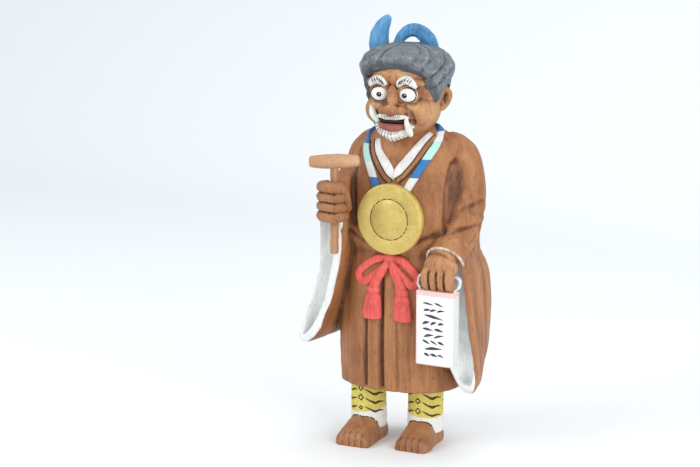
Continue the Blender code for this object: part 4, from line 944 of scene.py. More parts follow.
def ear(side):
    """Rim and hollow of an ear."""
    return [round_bar("ear rim", [(side * 20.0, 2.0, 219.2, 1.5), (side * 22.6, 4.8, 220.6, 1.7),
                                  (side * 24.2, 6.6, 218.0, 1.8), (side * 23.6, 6.0, 213.6, 1.7),
                                  (side * 21.8, 3.8, 210.4, 1.8), (side * 19.6, 1.6, 209.4, 2.0)]),
            blob("ear", (side * 21.0, 4.0, 214.4), (2.0, 3.0, 4.8), (0, 0, side * 35))]


EYE_OUT, EYE_HIGH = 8.9, 220.2
features = [
    blob("skull", (0, 1, 222), (23.6, 25.0, 22.5)),
    blob("face", (0, -3.0, 211), (21.6, 21.6, 20.0)),
    blob("jaw", (0, -7.0, 203), (18.4, 18.0, 11.0)),
    blob("chin", (0, -16.5, 199.0), (10.5, 8.0, 6.5)),
    blob("forehead", (0, -11, 230), (18.5, 14.0, 9.5)),
    blob("nose bridge", (0, -24.0, 218.0), (3.4, 4.4, 8.0), (12, 0, 0)),
    blob("nose tip", (0, -27.6, 211.0), (4.8, 5.3, 3.6)),
    blob("upper lip", (0, -21.4, 206.6), (10.6, 5.0, 3.4)),
]
for side in (-1, 1):
    features += [
        blob("nose wing", (side * 5.5, -25.4, 210.8), (3.0, 3.7, 2.7)),
        blob("cheek", (side * 12.4, -15.4, 209.5), (8.4, 6.6, 8.6)),
        blob("brow bone", (side * 9.5, -19.6, 227.8), (9.0, 4.2, 3.0), (0, side * 8, 0)),
    ] + ear(side)
    eyelid = []
    for a in np.linspace(0, 2 * math.pi, 25):
        x, z = side * EYE_OUT + 6.0 * math.cos(a), EYE_HIGH + 4.7 * math.sin(a)
        y = 1 - 25 * math.sqrt(1 - (x / 23.6) ** 2 - ((z - 222) / 22.5) ** 2)
        eyelid.append((x, 0.5 * y - 11.2 - 0.5 * max(0.0, math.sin(a)), z, 0.95))
    features.append(round_bar("lids", eyelid, 2, 12))
face = one_block("face", features, 0.42)
coords, normals = read_points(face)
coords = pushed(coords, (0, -27.0, 204.0), (9.4, 7.0, 1.6), (0, 6.5, 0))
for side in (-1, 1):
    coords = pushed(coords, (side * 3.0, -29.0, 208.2), (1.5, 3.0, 1.0), (0, 1.6, 0.9))
    coords = pushed(coords, (side * 21.8, 3.4, 214.8), (2.0, 3.0, 3.6), (-side * 2.4, 0.6, 0))
    for way, width, depth in (
            ([(7.4, 213.4), (10.0, 210.6), (12.2, 206.6), (12.4, 202.6)], 1.4, 0.9),
            ([(16.6, 213.6), (18.6, 207.0), (16.6, 200.0)], 2.2, 0.2),
            ([(4.6, 215.4), (8.4, 214.2), (13.0, 215.0)], 1.0, 0.5),
            ([(14.0, 217.0), (17.6, 219.0)], 0.9, 0.45),
            ([(2.0, 224.0), (2.6, 228.0), (1.8, 231.5)], 1.0, 0.7),
            ([(8.6, 211.6), (8.9, 209.4), (7.4, 208.2)], 0.8, 0.7),
            ([(1.0, 233.4), (7.0, 234.4), (12.0, 233.0)], 0.9, 0.35)):
        way = smooth_way([(side * x, z) for x, z in way], 4)
        coords = scored(coords, normals, way, width, depth)
knife_finished(face, coords, normals, (4.0, 4.0, 5.0), 0.35, 8, 12, 0.4)
coords, _ = read_points(face)


def near(centre, radii):
    """How near each point of the face lies to a centre, from 0 far away to 1."""
    share = (coords - np.array(centre, float)) / np.array(radii, float)
    return np.exp(-(share ** 2).sum(axis=1))


# thin paint on the face, redder at nose, mouth and lids; painted shade in the mouth, under and
# beside the eyes and in the ears; painted highlights on the high places of nose, cheeks and
# forehead
flush = near((0, -30, 209.5), (6, 8, 3)) + 0.7 * near((0, -26, 223), (5, 8, 5))
flush += near((0, -24, 201), (14, 9, 3))
dark = 1.6 * near((0, -24, 204.3), (8.8, 9, 1.5))
light = near((0, -30, 216), (3, 6, 3))
for side in (-1, 1):
    flush += 0.8 * near((side * 15, -18, 221), (3.5, 8, 3))
    flush += 0.6 * near((side * 11, -20, 207), (4, 8, 3.4))
    light += 1.1 * near((side * 12.0, -20, 212.5), (4.4, 8, 2.6))
    light += 0.9 * near((side * 18.5, -10, 208), (4.4, 9, 8))
    light += 0.7 * near((side * 6.0, -24, 233.0), (5.0, 8, 2.0))
    dark += 0.35 * near((side * EYE_OUT, -22, 214.9), (5.4, 6, 0.8))
    dark += 0.3 * near((side * 15.6, -18, 222), (1.6, 8, 5))
    dark += 0.7 * near((side * 22.4, 2.8, 215), (1.6, 3, 3.2))
face_wood = wood_finish("brown_face_wood", (0.47, 0.225, 0.100, 1.0), (0.35, 0.150, 0.062, 1.0),
                        (0.19, 0.068, 0.028, 1.0), (0.075, 0.023, 0.011, 1.0), deep=1.2)
tree, skin_tone, base = last_colour(face_wood)
mottle = eased_between(tree, noise(tree, 520.0, 4.0, own_place(tree)), 0.35, 0.65, 0.0, 0.6)
# light is painted highlight, flush is thin red paint, dark is painted shade
for label, values, tone, most in (("light", light, (0.66, 0.40, 0.19, 1.0), 0.8),
                                  ("flush", flush, (0.24, 0.060, 0.032, 1.0), 0.75),
                                  ("dark", dark, (0.028, 0.012, 0.010, 1.0), 1.0)):
    store(face, label, np.clip(values, 0.0, 1.0))
    share = sums(tree, "MULTIPLY", mark_on(tree, label), sums(tree, "ADD", mottle, 0.5))
    skin_tone = blended(tree, sums(tree, "MULTIPLY", share, most, clamp=True), skin_tone, tone)
feed(tree, base, skin_tone)
face_skin = skin_tree(face)
on_head(face, face_wood, "carved_wood")

eye_white = paint_finish("eye_white", (0.84, 0.84, 0.80, 1.0), (0.66, 0.66, 0.62, 1.0), WHITE,
                         rough=0.4)
eye_black = paint_finish("eye_black", (0.012, 0.010, 0.010, 1.0), (0.02, 0.02, 0.02, 1.0),
                         (0.03, 0.03, 0.03, 1.0), rough=0.3)
EYE_BALL = (5.8, 4.5, 4.5)
for side, label, look in ((-1, "right", 0.7), (1, "left", -0.9)):
    eye_x = side * EYE_OUT
    front = -21.6 - EYE_BALL[1] * math.sqrt(1 - (look / EYE_BALL[0]) ** 2)
    ring = [(eye_x + 5.35 * math.cos(a), -23.1, EYE_HIGH + 4.15 * math.sin(a),
             0.50 + 0.22 * max(0.0, math.sin(a))) for a in np.linspace(0, 2 * math.pi, 33)]
    for piece, finish, slot in (
            (blob(label + "_eye", (eye_x, -21.6, EYE_HIGH), EYE_BALL), eye_white, "white_paint"),
            (blob(label + "_pupil", (eye_x + look, front + 0.10, EYE_HIGH - 0.1),
                  (1.65, 0.42, 1.5)), eye_black, "grey_paint"),
            (blob(label + "_glint", (eye_x + look + 0.45, front - 0.30, EYE_HIGH + 0.4),
                  (0.36, 0.12, 0.30), fine=12), eye_white, "white_paint"),
            (round_bar(label + "_eye_line", ring, 2, 10), outline_paint, "carved_wood")):
        on_head(piece, finish, slot)

BROW_WAYS = {-1: [(4.8, 225.2, 1.5), (6.6, 227.4, 2.3), (9.8, 228.8, 2.6), (13.0, 227.6, 2.3),
                  (15.4, 225.0, 1.3)],
             1: [(2.9, 225.4, 1.5), (4.8, 227.7, 2.4), (8.2, 229.2, 2.7), (11.4, 227.8, 2.4),
                 (13.6, 225.0, 1.3)]}
WHISKER_WAY = [(0.2, 206.7, 1.2), (3.0, 207.2, 1.8), (6.4, 207.5, 1.6), (9.8, 206.6, 0.6)]
brow_hairs, whisker_lines, beard_lines = [], [], []
hair_white = paint_finish("hair_white", (0.80, 0.79, 0.75, 1.0), (0.55, 0.53, 0.49, 1.0),
                          WOOD_LIGHT, deep=1.3, speckle=0.9)


def seen_from_front(skin, x, z):
    """Where a skin is met from the front, and which way it faces there."""
    return skin.ray_cast(Vector((x, -200.0, z)) * MM, Vector((0, 1, 0)))


def front_places(skin, way):
    """Places on a skin seen from the front along a way of x, z and half-width, evened out."""
    rows = smooth_way(way, 6)
    hits = []
    for x, z, _ in rows:
        hit = seen_from_front(skin, x, z)
        hits.append(hit if hit[0] else skin.find_nearest(Vector((x, -10.0, z)) * MM))
    points = np.array([hit[0] / MM for hit in hits])
    outs = np.array([hit[1] for hit in hits])
    for _ in range(3):
        points[1:-1] = (points[:-2] + 2 * points[1:-1] + points[2:]) / 4
        outs[1:-1] = (outs[:-2] + 2 * outs[1:-1] + outs[2:]) / 4
    places = [(Vector(point), Vector(out).normalized()) for point, out in zip(points, outs)]
    return places, widths(rows)


def add_hair(hairs, skin, way):
    """Add a brushed hair along a way of x, z and half-width, where the skin is met all along."""
    hits = [seen_from_front(skin, x, z) for x, z, _ in way]
    if all(hit[0] for hit in hits):
        hairs.append(([(Vector(hit[0]) / MM, Vector(hit[1])) for hit in hits], widths(way)))


for side, label in ((-1, "right"), (1, "left")):
    brow = laid_band(label + "_brow", *front_places(
        face_skin, [(side * x, z, half) for x, z, half in BROW_WAYS[side]]), 1.5, 1.6, 0.9)
    brow_skin = skin_tree(brow)
    on_head(brow, hair_white, "white_paint")
    for i in range(7):
        x, z, half = smooth_way(BROW_WAYS[side], 10)[int((i + 0.9) / 8.0 * 40)]
        lean = 1.25 + 0.3 * math.sin(5 * i)
        z += 0.35 * math.sin(3 * i)
        add_hair(brow_hairs, brow_skin, [
            (side * (x - lean), z - 0.74 * half, 0.16), (side * x, z, 0.50),
            (side * (x + lean * 0.9), z + 0.62 * half, 0.16)])
    rows = smooth_way([(side * x, z, half) for x, z, half in WHISKER_WAY], 6)
    whisker = laid_band(label + "_moustache", [
        (Vector((x, -27.2 + 0.035 * x * x, z)), Vector((0.16 * x / 5, -1.0, 0.1)))
        for x, z, _ in rows], widths(rows), 1.5, 3.4, 0.9)
    whisker_skin = skin_tree(whisker)
    on_head(whisker, hair_white, "white_paint")
    for i in range(7):
        x = 0.9 + 1.15 * i
        add_hair(whisker_lines, whisker_skin, [
            (side * x, 208.3, 0.10), (side * (x + 0.5), 207.1, 0.27),
            (side * (x + 0.7), 205.9, 0.10)])
on_head(brushed("brow_hairs", brow_hairs, 0.32, 0.4), eye_black, "grey_paint")
on_head(brushed("moustache_hairs", whisker_lines, 0.22, 0.3), eye_black, "grey_paint")

lip_red = paint_finish("lip_red", (0.34, 0.115, 0.085, 1.0), (0.20, 0.055, 0.040, 1.0),
                       WOOD_LIGHT, rough=0.5)
on_head(round_bar("lower_lip", [
    (-9.0, -21.6, 203.0, 0.9), (-6.4, -24.6, 201.2, 1.8), (0, -26.4, 200.7, 2.3),
    (6.4, -24.6, 201.2, 1.8), (9.0, -21.6, 203.0, 0.9)], 6, 20), lip_red, "carved_wood")
on_head(blob("mouth_shadow", (0, -21.6, 204.4), (9.6, 4.2, 1.7)), outline_paint, "carved_wood")

LOCKS = 15
SPREAD = 1.36
locks = []
for i in range(LOCKS):
    share = i / (LOCKS - 1) * 2 - 1
    angle = share * SPREAD - 0.10
    reach = 11.2 + 0.5 * math.cos(7 * angle)
    inner = (8.8 * math.sin(angle), -25.4 + 3.8 * share ** 2, 203.8 - 5.2 * math.cos(angle))
    outer = (12.4 * math.sin(angle), -23.4 + 4.4 * share ** 2, 204.0 - reach * math.cos(angle))
    middle = [(a + b) / 2 for a, b in zip(inner, outer)]
    middle[1] -= 1.6
    locks.append(round_bar("lock", [(*inner, 0.9), (*middle, 1.45), (*outer, 0.75)], 5, 14))
    if i:
        # a dark line in the notch between this lock and the last
        angle -= SPREAD / (LOCKS - 1)
        across, down = math.sin(angle), math.cos(angle)
        start = Vector((9.2 * across, -27.1 + 3.9 * share ** 2, 203.8 - 6.3 * down))
        stop = Vector((12.0 * across, -25.9 + 4.2 * share ** 2, 204.0 - 10.2 * down))
        out = Vector((0.4 * across, -1.0, -0.2 * down)).normalized()
        beard_lines.append(([(start, out), ((start + stop) / 2 - out * -0.25, out), (stop, out)],
                            [0.20, 0.46, 0.14]))
locks.append(round_bar("under the locks", [
    (10.4 * math.sin(a), -22.6 + 1.35 * a * a, 203.9 - 8.6 * math.cos(a), 2.4)
    for a in np.linspace(-1.42, 1.16, 15)], 3, 16))
on_head(one_block("beard", locks, 0.34, 1), hair_white, "white_paint", 8, 0.25)
on_head(brushed("beard_hairs", beard_lines, 0.45, 0.6), eye_black, "grey_paint")

tusk_white = paint_finish("tusk_white", (0.70, 0.77, 0.71, 1.0), (0.50, 0.56, 0.50, 1.0),
                          WOOD_LIGHT, rough=0.45)
on_head(round_bar("right_tusk", [
    (-9.6, -23.4, 203.6, 1.2), (-12.0, -23.4, 206.4, 2.1), (-14.0, -22.4, 209.6, 1.9),
    (-15.2, -21.2, 213.0, 0.5)], 6, 20), tusk_white, "white_paint")
on_head(round_bar("left_tusk", [
    (8.8, -25.0, 205.8, 1.2), (10.2, -26.6, 202.8, 1.7), (11.6, -26.6, 199.4, 1.9),
    (12.4, -25.6, 196.4, 1.3)], 6, 20), hair_white, "white_paint")


# Hair: one grey-painted cap of swept-back locks, cut with a knife in long slanting facets.
# It is part of the same block and wider than the head, and turns under at the forehead.
HAIR = [(205, 17.0, -16.0, 19.0), (209, 20.5, -19.0, 22.5), (215, 24.0, -22.5, 25.6),
        (221, 25.0, -24.5, 27.0), (228, 27.0, -26.2, 28.6), (234, 28.4, -27.8, 29.2),
        (238.5, 27.0, -26.8, 27.6), (242.5, 23.4, -23.6, 24.0), (246.2, 16.4, -17.0, 17.0),
        (248, 7.0, -7.0, 7.0)]
rings = []
for height, half, front, back in smooth_way(HAIR, 5):
    limit = 7.5 if height < 224.5 else front + max(0.0, 240.6 - height) * 0.86
    middle, deep = (front + back) / 2, (back - front) / 2
    rings.append([(half * math.cos(a) - 0.8, max(middle + deep * math.sin(a), limit), height)
                  for a in full_turn(96)])
shapes = [skin_through("cap", rings)]
for side in (-1, 1):
    rings = []
    for height, fore, aft in ((229, -18.5, 4), (225, -16.4, 2), (221, -13.4, -1.5),
                              (217, -10.6, -4.6), (213.4, -8.6, -6.6)):
        half, front, back = at_height(HAIR, height)
        middle, deep = (front + back) / 2, (back - front) / 2
        outside = [(side * (half - 0.2) * math.sqrt(1 - ((y - middle) / deep) ** 2) - 0.8,
                    y, height) for y in np.linspace(fore, aft, 7)]
        rings.append([(side * 16.0, fore, height)] + outside + [(side * 16.0, aft, height)])
    shapes.append(skin_through("sideburn", rings))
hair = one_block("hair", shapes, 0.5, 3)
coords, normals = read_points(hair)
coords = whittled(coords, normals, (8.0, 8.0, 8.0), 1.1, 21)
# long cuts of the knife round the head, as angle from the front and height, start and end
HAIR_CUTS = [(54, 231, 92, 243, 1.3), (41, 236, 68, 246.5, 0.8), (28, 240, 50, 247.5, 0.7),
             (74, 228, 118, 241, 1.2), (100, 226, 146, 240, 1.2), (128, 222, 170, 238, 1.1),
             (66, 237, 84, 245, 0.6), (7, 236, 9, 242, 0.5), (-22, 237, -23, 247.5, 1.0),
             (-50, 232, -66, 246, 1.2), (-74, 227, -100, 243, 1.2), (-100, 224, -130, 241, 1.2),
             (-128, 221, -164, 238, 1.1), (-36, 236, -42, 245, 0.6), (-8, 237.5, -12, 243, 0.5),
             (178, 212, 180, 234, 1.2), (150, 210, 156, 226, 0.9), (-152, 210, -158, 226, 0.9),
             (60, 224, 74, 227, 0.7), (-62, 224, -76, 228, 0.7), (20, 238, 30, 243, 0.5)]
DEGREE = 0.48  # millimetres along the cap's rim
bearing = np.degrees(np.arctan2(coords[:, 0], -coords[:, 1]))
outwards = np.stack([normals[:, 0], normals[:, 1], np.clip(normals[:, 2], 0, 1)], axis=1)
for start, low, stop, high, depth in HAIR_CUTS:
    flat = np.stack([((bearing - start + 180) % 360 - 180) * DEGREE, coords[:, 2]], axis=1)
    gap, side = gap_to_way(flat, [(0.0, low), ((stop - start) * DEGREE, high)])
    cut = np.clip(1.0 - gap / np.where(side > 0, 1.3, 4.2), 0.0, 1.0) * depth
    coords -= outwards * cut[:, None]
coords = pushed(coords, (0.6, -28.0, 237.2), (1.4, 4.0, 2.0), (0.0, 1.2, 0.0))
move_points(hair, coords)
note_hollows(hair, 14, 0.5)
coords, _ = read_points(hair)
# painted shade under the cap's front edge, where it turns under at the forehead
edge_height = 240.6 + (coords[:, 1] + 27.8) / -0.86
store(hair, "under", np.clip(1.0 - (coords[:, 2] - edge_height) / 5.5, 0.0, 1.0)
      * np.clip((8.0 - coords[:, 1]) / 8.0, 0.0, 1.0))
hair_grey = paint_finish("hair_grey", (0.170, 0.190, 0.210, 1.0), (0.095, 0.106, 0.120, 1.0),
                         (0.40, 0.41, 0.42, 1.0), rough=0.75, speckle=0.75, deep=1.1, wear_and_highlight=0.7)
tree, grey, base = last_colour(hair_grey)
shaded = sums(tree, "MULTIPLY", mark_on(tree, "under"), 0.6)
feed(tree, base, blended(tree, shaded, grey, (0.03, 0.032, 0.036, 1.0)))
on_head(hair, hair_grey, "grey_paint")


# Horns: two plugs of wood let into the hair, whittled round and painted blue.
# The right one stands up short and bent; the left one curls over towards it.
SHORT_HORN = [(-23.6, 4, 240.0, 0.96), (-23.9, 4, 246, 1.0), (-23.6, 4.4, 251, 0.92),
              (-21.6, 4.8, 256.4, 0.72), (-18.8, 5.0, 260.6, 0.46), (-17.2, 5.0, 262.6, 0.26)]
CURLED_HORN = [(9.8, 5.2, 238.6, 0.94), (10.4, 4.8, 243.4, 0.94), (8.8, 4.2, 249.6, 0.84),
               (4.4, 3.2, 254.2, 0.70), (-1.0, 1.8, 255.2, 0.64), (-5.6, 0.2, 252.4, 0.56),
               (-8.4, -2.0, 247.6, 0.46), (-9.4, -3.4, 244.6, 0.34)]
for name, node_name, stations, width, colours in (
        ("short_horn", "horn_right", SHORT_HORN, 12.6,
         ((0.115, 0.33, 0.58, 1.0), (0.058, 0.19, 0.40, 1.0))),
        ("curled_horn", "horn_left", CURLED_HORN, 12.2,
         ((0.072, 0.27, 0.50, 1.0), (0.026, 0.105, 0.25, 1.0)))):
    horn = round_bar(name, [(x, y, z, share * width / 2) for x, y, z, share in stations], 10, 40)
    horn = one_block(name, [horn], 0.4, 4)
    coords, normals = read_points(horn)
    middle = coords[:, 1].mean()
    coords[:, 1] = middle + (coords[:, 1] - middle) * 0.82
    knife_finished(horn, coords, normals, (4.0, 4.0, 6.0), 0.5, 5, 8, 0.4)
    horn_blue = paint_finish(name + "_blue", *colours, (0.35, 0.50, 0.62, 1.0), rough=0.55,
                             speckle=0.8)
    stands(horn, [horn_blue], "blue_paint", node_name)


# Gong: a turned wooden disc covered with gold leaf, a ring scratched round the middle of its face.
# The leaf was laid in small squares; it has gone matt, cracked and lost some flecks.
GONG_X, GONG_Z, GONG_BACK = GONG_TO_LEFT, 145.5, -28.9
RING_RADIUS = 12.4
profile = [(0.0, 4.8), (11.9, 4.8), (RING_RADIUS, 4.25), (12.9, 4.8), (20.3, 4.8), (20.95, 4.62),
           (21.35, 4.2), (21.5, 3.7), (21.5, 1.1), (21.35, 0.6), (20.9, 0.15), (20.2, 0.0),
           (0.0, 0.0)]
rings = [[(GONG_X + max(r, 0.05) * math.cos(a), GONG_BACK - y, GONG_Z + max(r, 0.05) * math.sin(a))
          for a in full_turn(144)] for r, y in profile]
gong = skin_through("gong_disc", rings)
note_hollows(gong, 2, 0.4)
gold_leaf, tree, sockets = new_finish("old_gold_leaf")
where = own_place(tree)
sheets = node(tree, "TexVoronoi", {"Vector": where, "Scale": 150.0}, distance="CHEBYCHEV")
sheet_tone = node(tree, "SeparateColor", {"Color": sheets.outputs["Color"]}).outputs[0]
warp = node(tree, "TexNoise", {"Vector": where, "Scale": 300.0, "Detail": 4.0}).outputs
sway = node(tree, "VectorMath", {0: warp["Color"], 1: (0.004, 0.004, 0.004)}, operation="MULTIPLY")
moved = node(tree, "VectorMath", {0: where, 1: sway.outputs[0]}, operation="ADD")
cracks = node(tree, "TexVoronoi", {"Vector": moved.outputs[0], "Scale": 260.0},
              feature="DISTANCE_TO_EDGE").outputs["Distance"]
crack_share = sums(tree, "MULTIPLY", eased_between(tree, cracks, 0.0, 0.035, 1.0, 0.0),
                   eased_between(tree, warp["Fac"], 0.5, 0.62, 0.0, 0.55))
leaf = (0.63, 0.47, 0.135, 1.0)
for share, tone in (
        (eased_between(tree, sheet_tone, 0.0, 1.0, 0.0, 0.55), (0.50, 0.36, 0.085, 1.0)),
        (eased_between(tree, warp["Fac"], 0.5, 0.75, 0.0, 0.6), (0.70, 0.56, 0.24, 1.0)),
        (crack_share, (0.24, 0.115, 0.03, 1.0)),
        (eased_between(tree, noise(tree, 900.0, 1.0, where), 0.70, 0.76, 0.0, 0.85),
         (0.17, 0.075, 0.025, 1.0))):
    leaf = blended(tree, share, leaf, tone)
feed(tree, sockets["Base Color"], leaf)
sockets["Metallic"].default_value = 0.35
feed(tree, sockets["Roughness"], eased_between(tree, warp["Fac"], 0.3, 0.7, 0.42, 0.62))
bumped(tree, sockets, warp["Fac"], 0.35, 0.0003)
stands(gong, [gold_leaf], "gold_leaf", "gong")
# the scratched ring, in strokes of uneven length and width
scratches = []
draw = np.random.default_rng(4)
start = 0.0
while start < 2 * math.pi - 0.12:
    stop = min(start + draw.uniform(0.12, 0.55), 2 * math.pi)
    places = [(Vector((GONG_X + RING_RADIUS * math.cos(a), GONG_BACK - 4.25,
                       GONG_Z + RING_RADIUS * math.sin(a))), Vector((0, -1, 0)))
              for a in np.linspace(start, stop, 8)]
    widest = draw.uniform(0.20, 0.55)
    scratches.append((places, [0.06 + widest * math.sin(math.pi * i / 7) for i in range(8)]))
    start = stop + draw.uniform(0.0, 0.07)
stands(brushed("gong_ring_line", scratches, 0.62, 0.3), [outline_paint], "gold_leaf", "gong")


# Bow: a flattened cord tied in a bow below the gong, with two tassels, carved and painted coral.
# It lies on the pleats as part of the block, darker between the cords with grime and painted shade.
coral = paint_finish("coral_paint", (0.76, 0.125, 0.105, 1.0), (0.50, 0.055, 0.045, 1.0),
                     (0.80, 0.25, 0.20, 1.0), rough=0.6, speckle=0.7, deep=1.2, wear_and_highlight=0.35)


def cord(name, way):
    """Flattened cord over the robe along a way of x, z, half-width and lift."""
    rows = smooth_way(way, 7)
    places = [(Vector((x, robe_face(x, z) - lift, z)), Vector((0.012 * x, -1.0, 0.0)))
              for x, z, _, lift in rows]
    return laid_band(name, places, widths(rows), 1.7, 2.6, 0.8)


KNOT_X = 0.8
TAILS = ((-1, -21.0, -9.8), (1, 18.6, 8.6))  # side, how far out a loop and a tail reach
bow_parts = [blob("knot", (KNOT_X, robe_face(0, 120) - 1.4, 121.0), (4.4, 2.9, 3.2))]
for side, far, tail in TAILS:
    loop_reach, tail_reach = far - KNOT_X, tail - KNOT_X
    bow_parts.append(cord("loop", [
        (KNOT_X, 121.1, 1.9, 0.9), (KNOT_X + loop_reach * 0.45, 119.4, 2.5, 1.2),
        (far - side * 2.6, 113.0, 2.6, 1.0), (far, 108.2, 2.5, 0.8),
        (far - side * 3.6, 104.8, 2.5, 0.8), (KNOT_X + loop_reach * 0.60, 108.0, 2.4, 1.0),
        (KNOT_X + loop_reach * 0.25, 114.0, 2.2, 1.0), (KNOT_X + side * 1.2, 118.6, 1.8, 1.2)]))
    bow_parts.append(cord("tail", [
        (KNOT_X + side * 0.8, 119.8, 1.9, 1.6), (KNOT_X + tail_reach * 0.42, 113.2, 2.6, 2.2),
        (KNOT_X + tail_reach * 0.78, 107.4, 2.9, 1.6), (tail, 101.6, 3.3, 0.8)]))
    rings = []
    for down, half in ((0.0, 3.0), (0.5, 4.0), (1.0, 4.3), (2.6, 4.4), (3.3, 4.2), (3.8, 3.6),
                       (4.6, 4.3), (6.0, 5.0), (9, 5.5), (13, 5.9), (16, 6.2), (18.6, 6.3),
                       (19.4, 5.9), (19.8, 5.0)):
        x, z = tail + side * down * 0.06, 102.6 - down
        fringe = 0.28 if down > 4.0 else 0.0
        rings.append([(x + half * math.cos(a), robe_face(x, z) - 0.8
                       + (half * 0.64 - fringe * abs(math.sin(11 * a))) * math.sin(a), z)
                      for a in full_turn(96)])
    bow_parts.append(skin_through("tassel", rings))
bow = one_block("coral_bow", bow_parts, 0.42, 1)
coords, normals = read_points(bow)
for side, _, tail in TAILS:
    for k in range(-3, 4):
        way = [(tail + k * 1.3 + side * 0.3, 98.0), (tail + k * 1.62 + side * 1.2, 82.5)]
        coords = scored(coords, normals, way, 0.5, 0.25)
move_points(bow, coords)
part_of_him(bow, coral, "coral_paint", 10, 0.45)


# Right fist and mallet: the fist is carved with the arm and drilled for the stick.
# The stick is a split square lath of pale wood, the mallet's head a turned barrel across it.
def from_axis(x, y, stations):
    """Stations that were given from an upright line at x and y."""
    return [(x + dx, y + dy, *rest) for dx, dy, *rest in stations]


hand_wood = wood_finish("brown_hand_wood", (0.42, 0.195, 0.088, 1.0), (0.31, 0.126, 0.052, 1.0),
                        WOOD_DARK, WOOD_PORE, deep=1.2)
STICK = (-28.9, -44.0)  # middle of the mallet's stick, on which the fist closes
FINGER_STEP = 5.8
fist_parts = [round_bar("wrist", [(-35.5, -22, 150, 8.0), (-33.5, -32, 151, 8.2),
                                  (-30.5, -39, 154, 8.6)]),
              blob("palm", (STICK[0], STICK[1] + 1.5, 156), (7.6, 7.0, 11.6)),
              round_bar("thumb", from_axis(*STICK, [(6.4, 4.0, 151, 3.2), (7.4, -0.6, 159, 3.3),
                                                    (6.4, -3.0, 166.2, 3.0)]))]
for level in range(4):
    z, drift = 147.2 + FINGER_STEP * level, 0.2 * level
    fist_parts.append(round_bar("finger", from_axis(*STICK, [
        (-6.4, 3.5, z, 3.1), (-6.9, -2.6, z, 3.4), (drift - 3.4, -6.2, z + 0.2, 3.5),
        (2.8, -6.4, z + 0.3, 3.4), (6.0, -3.8, z + 0.2, 3.2), (6.6, 1.0, z, 3.0)])))
fist = one_block("right_fist", fist_parts, 0.42)
coords, normals = read_points(fist)
FIST_FRONT = (-0.3, -1.0, 0.0)
gaps = [([(-12, z + 0.2), (-2, z + 0.6), (5, z)], 0.7, 0.5)
        for z in (149.9 + FINGER_STEP * k for k in range(3))]
for way, width, depth in gaps + [([(3.6, 145.5), (4.4, 156.0), (3.4, 166.5)], 0.8, 0.35)]:
    way = [(STICK[0] + x, z) for x, z in way]
    coords = scored(coords, normals, way, width, depth, facing=FIST_FRONT)
HAND_FACETS = ((3.6, 3.6, 4.6), 0.45, 13, 10, 0.4)
knife_finished(fist, coords, normals, *HAND_FACETS)
part_of_him(fist, hand_wood, "carved_wood")

stick_wood = wood_finish("mallet_stick_wood", (0.50, 0.28, 0.15, 1.0), (0.40, 0.20, 0.10, 1.0),
                         (0.26, 0.115, 0.055, 1.0), (0.12, 0.05, 0.025, 1.0), deep=0.6)
pale_wood = wood_finish("mallet_head_wood", (0.60, 0.36, 0.20, 1.0), (0.50, 0.275, 0.14, 1.0),
                        (0.34, 0.165, 0.08, 1.0), (0.19, 0.085, 0.04, 1.0), lies=(0, 90, 0),
                        deep=0.6)
STICK_FOOT, STICK_TOP = 123.8, 179.6
rings = []
for z in np.linspace(STICK_FOOT, STICK_TOP, 90):
    uneven = 0.07 * math.sin(z * 0.9) + 0.05 * math.sin(z * 0.37 + 1.0)
    half = 2.0 - (0.25 if z in (STICK_FOOT, STICK_TOP) else 0.0)
    rings.append([(STICK[0] + uneven + half * squared(math.cos(a), 0.22),
                   STICK[1] + half * squared(math.sin(a), 0.22), z) for a in full_turn(32)])
stick = skin_through("mallet_stick", rings)
note_hollows(stick, 3)
stands(stick, [stick_wood], "stick_wood", "mallet_handle")

HALF_BARREL = 15.0
rings = []
for place in np.linspace(-HALF_BARREL, HALF_BARREL, 80):
    # fattest in the middle, its ends rounded off
    thick = 3.2 + 1.1 * (1 - (place / HALF_BARREL) ** 2) - 0.8 * max(0.0, abs(place) - 14.4) / 0.6
    rings.append([(place, thick * math.cos(a), thick * math.sin(a)) for a in full_turn(48)])
barrel = skin_through("mallet_barrel", rings)
barrel.data.transform(Matrix.Translation(Vector((*STICK, 180.0)) * MM)
                      @ Matrix.Rotation(math.radians(35), 4, "Z"))
knife_finished(barrel, *read_points(barrel), (5.0, 5.0, 2.0), 0.4, 2)
stands(barrel, [pale_wood], "pale_wood", "mallet_head")


# Left hand and the pilgrim's book: the hand hangs down over the carrying loop of a white book.
# Book and loop are carved and painted white, with pink edges and a column of brush strokes.
HAND = (35.2, -31.0)  # middle of the back of the hand
hand_parts = [round_bar("wrist", [(38.5, -16, 131, 9.0), (37, -23, 128, 8.6),
                                  (35.5, -29, 123.5, 8.2)]),
              blob("back of hand", (HAND[0], HAND[1] + 1.0, 119.5), (10.8, 6.2, 8.4)),
              round_bar("thumb", from_axis(*HAND, [(-8.2, 3.0, 119, 3.2), (-9.6, 0.4, 113.5, 3.1),
                                                   (-8.8, 0.6, 109.4, 2.7)]))]
for across, drop in ((-7.6, 0.6), (-2.6, 0.0), (2.4, 0.3), (7.4, 1.6)):
    hand_parts.append(round_bar("finger", from_axis(*HAND, [
        (across * 0.9, -0.5, 119, 2.9), (across, -3.6, 115, 3.0), (across, -3.0, 109.4, 2.8),
        (across * 0.97, -1.0, 106.0 + drop, 2.6)])))
hand = one_block("left_hand", hand_parts, 0.42)
coords, normals = read_points(hand)
for across in (-5.1, -0.1, 4.9):
    x = HAND[0] + across
    coords = scored(coords, normals, [(x, 117.0), (x, 100.0)], 0.9, 0.9)
knife_finished(hand, coords, normals, *HAND_FACETS)
# a paler copy of the hand wood: painted light on the left hand
painted_light_hand_wood = wood_finish("painted_light_left_hand_wood", (0.53, 0.26, 0.120, 1.0), (0.41, 0.18, 0.077, 1.0),
                          WOOD_DARK, WOOD_PORE, deep=0.9)
part_of_him(hand, painted_light_hand_wood, "carved_wood")

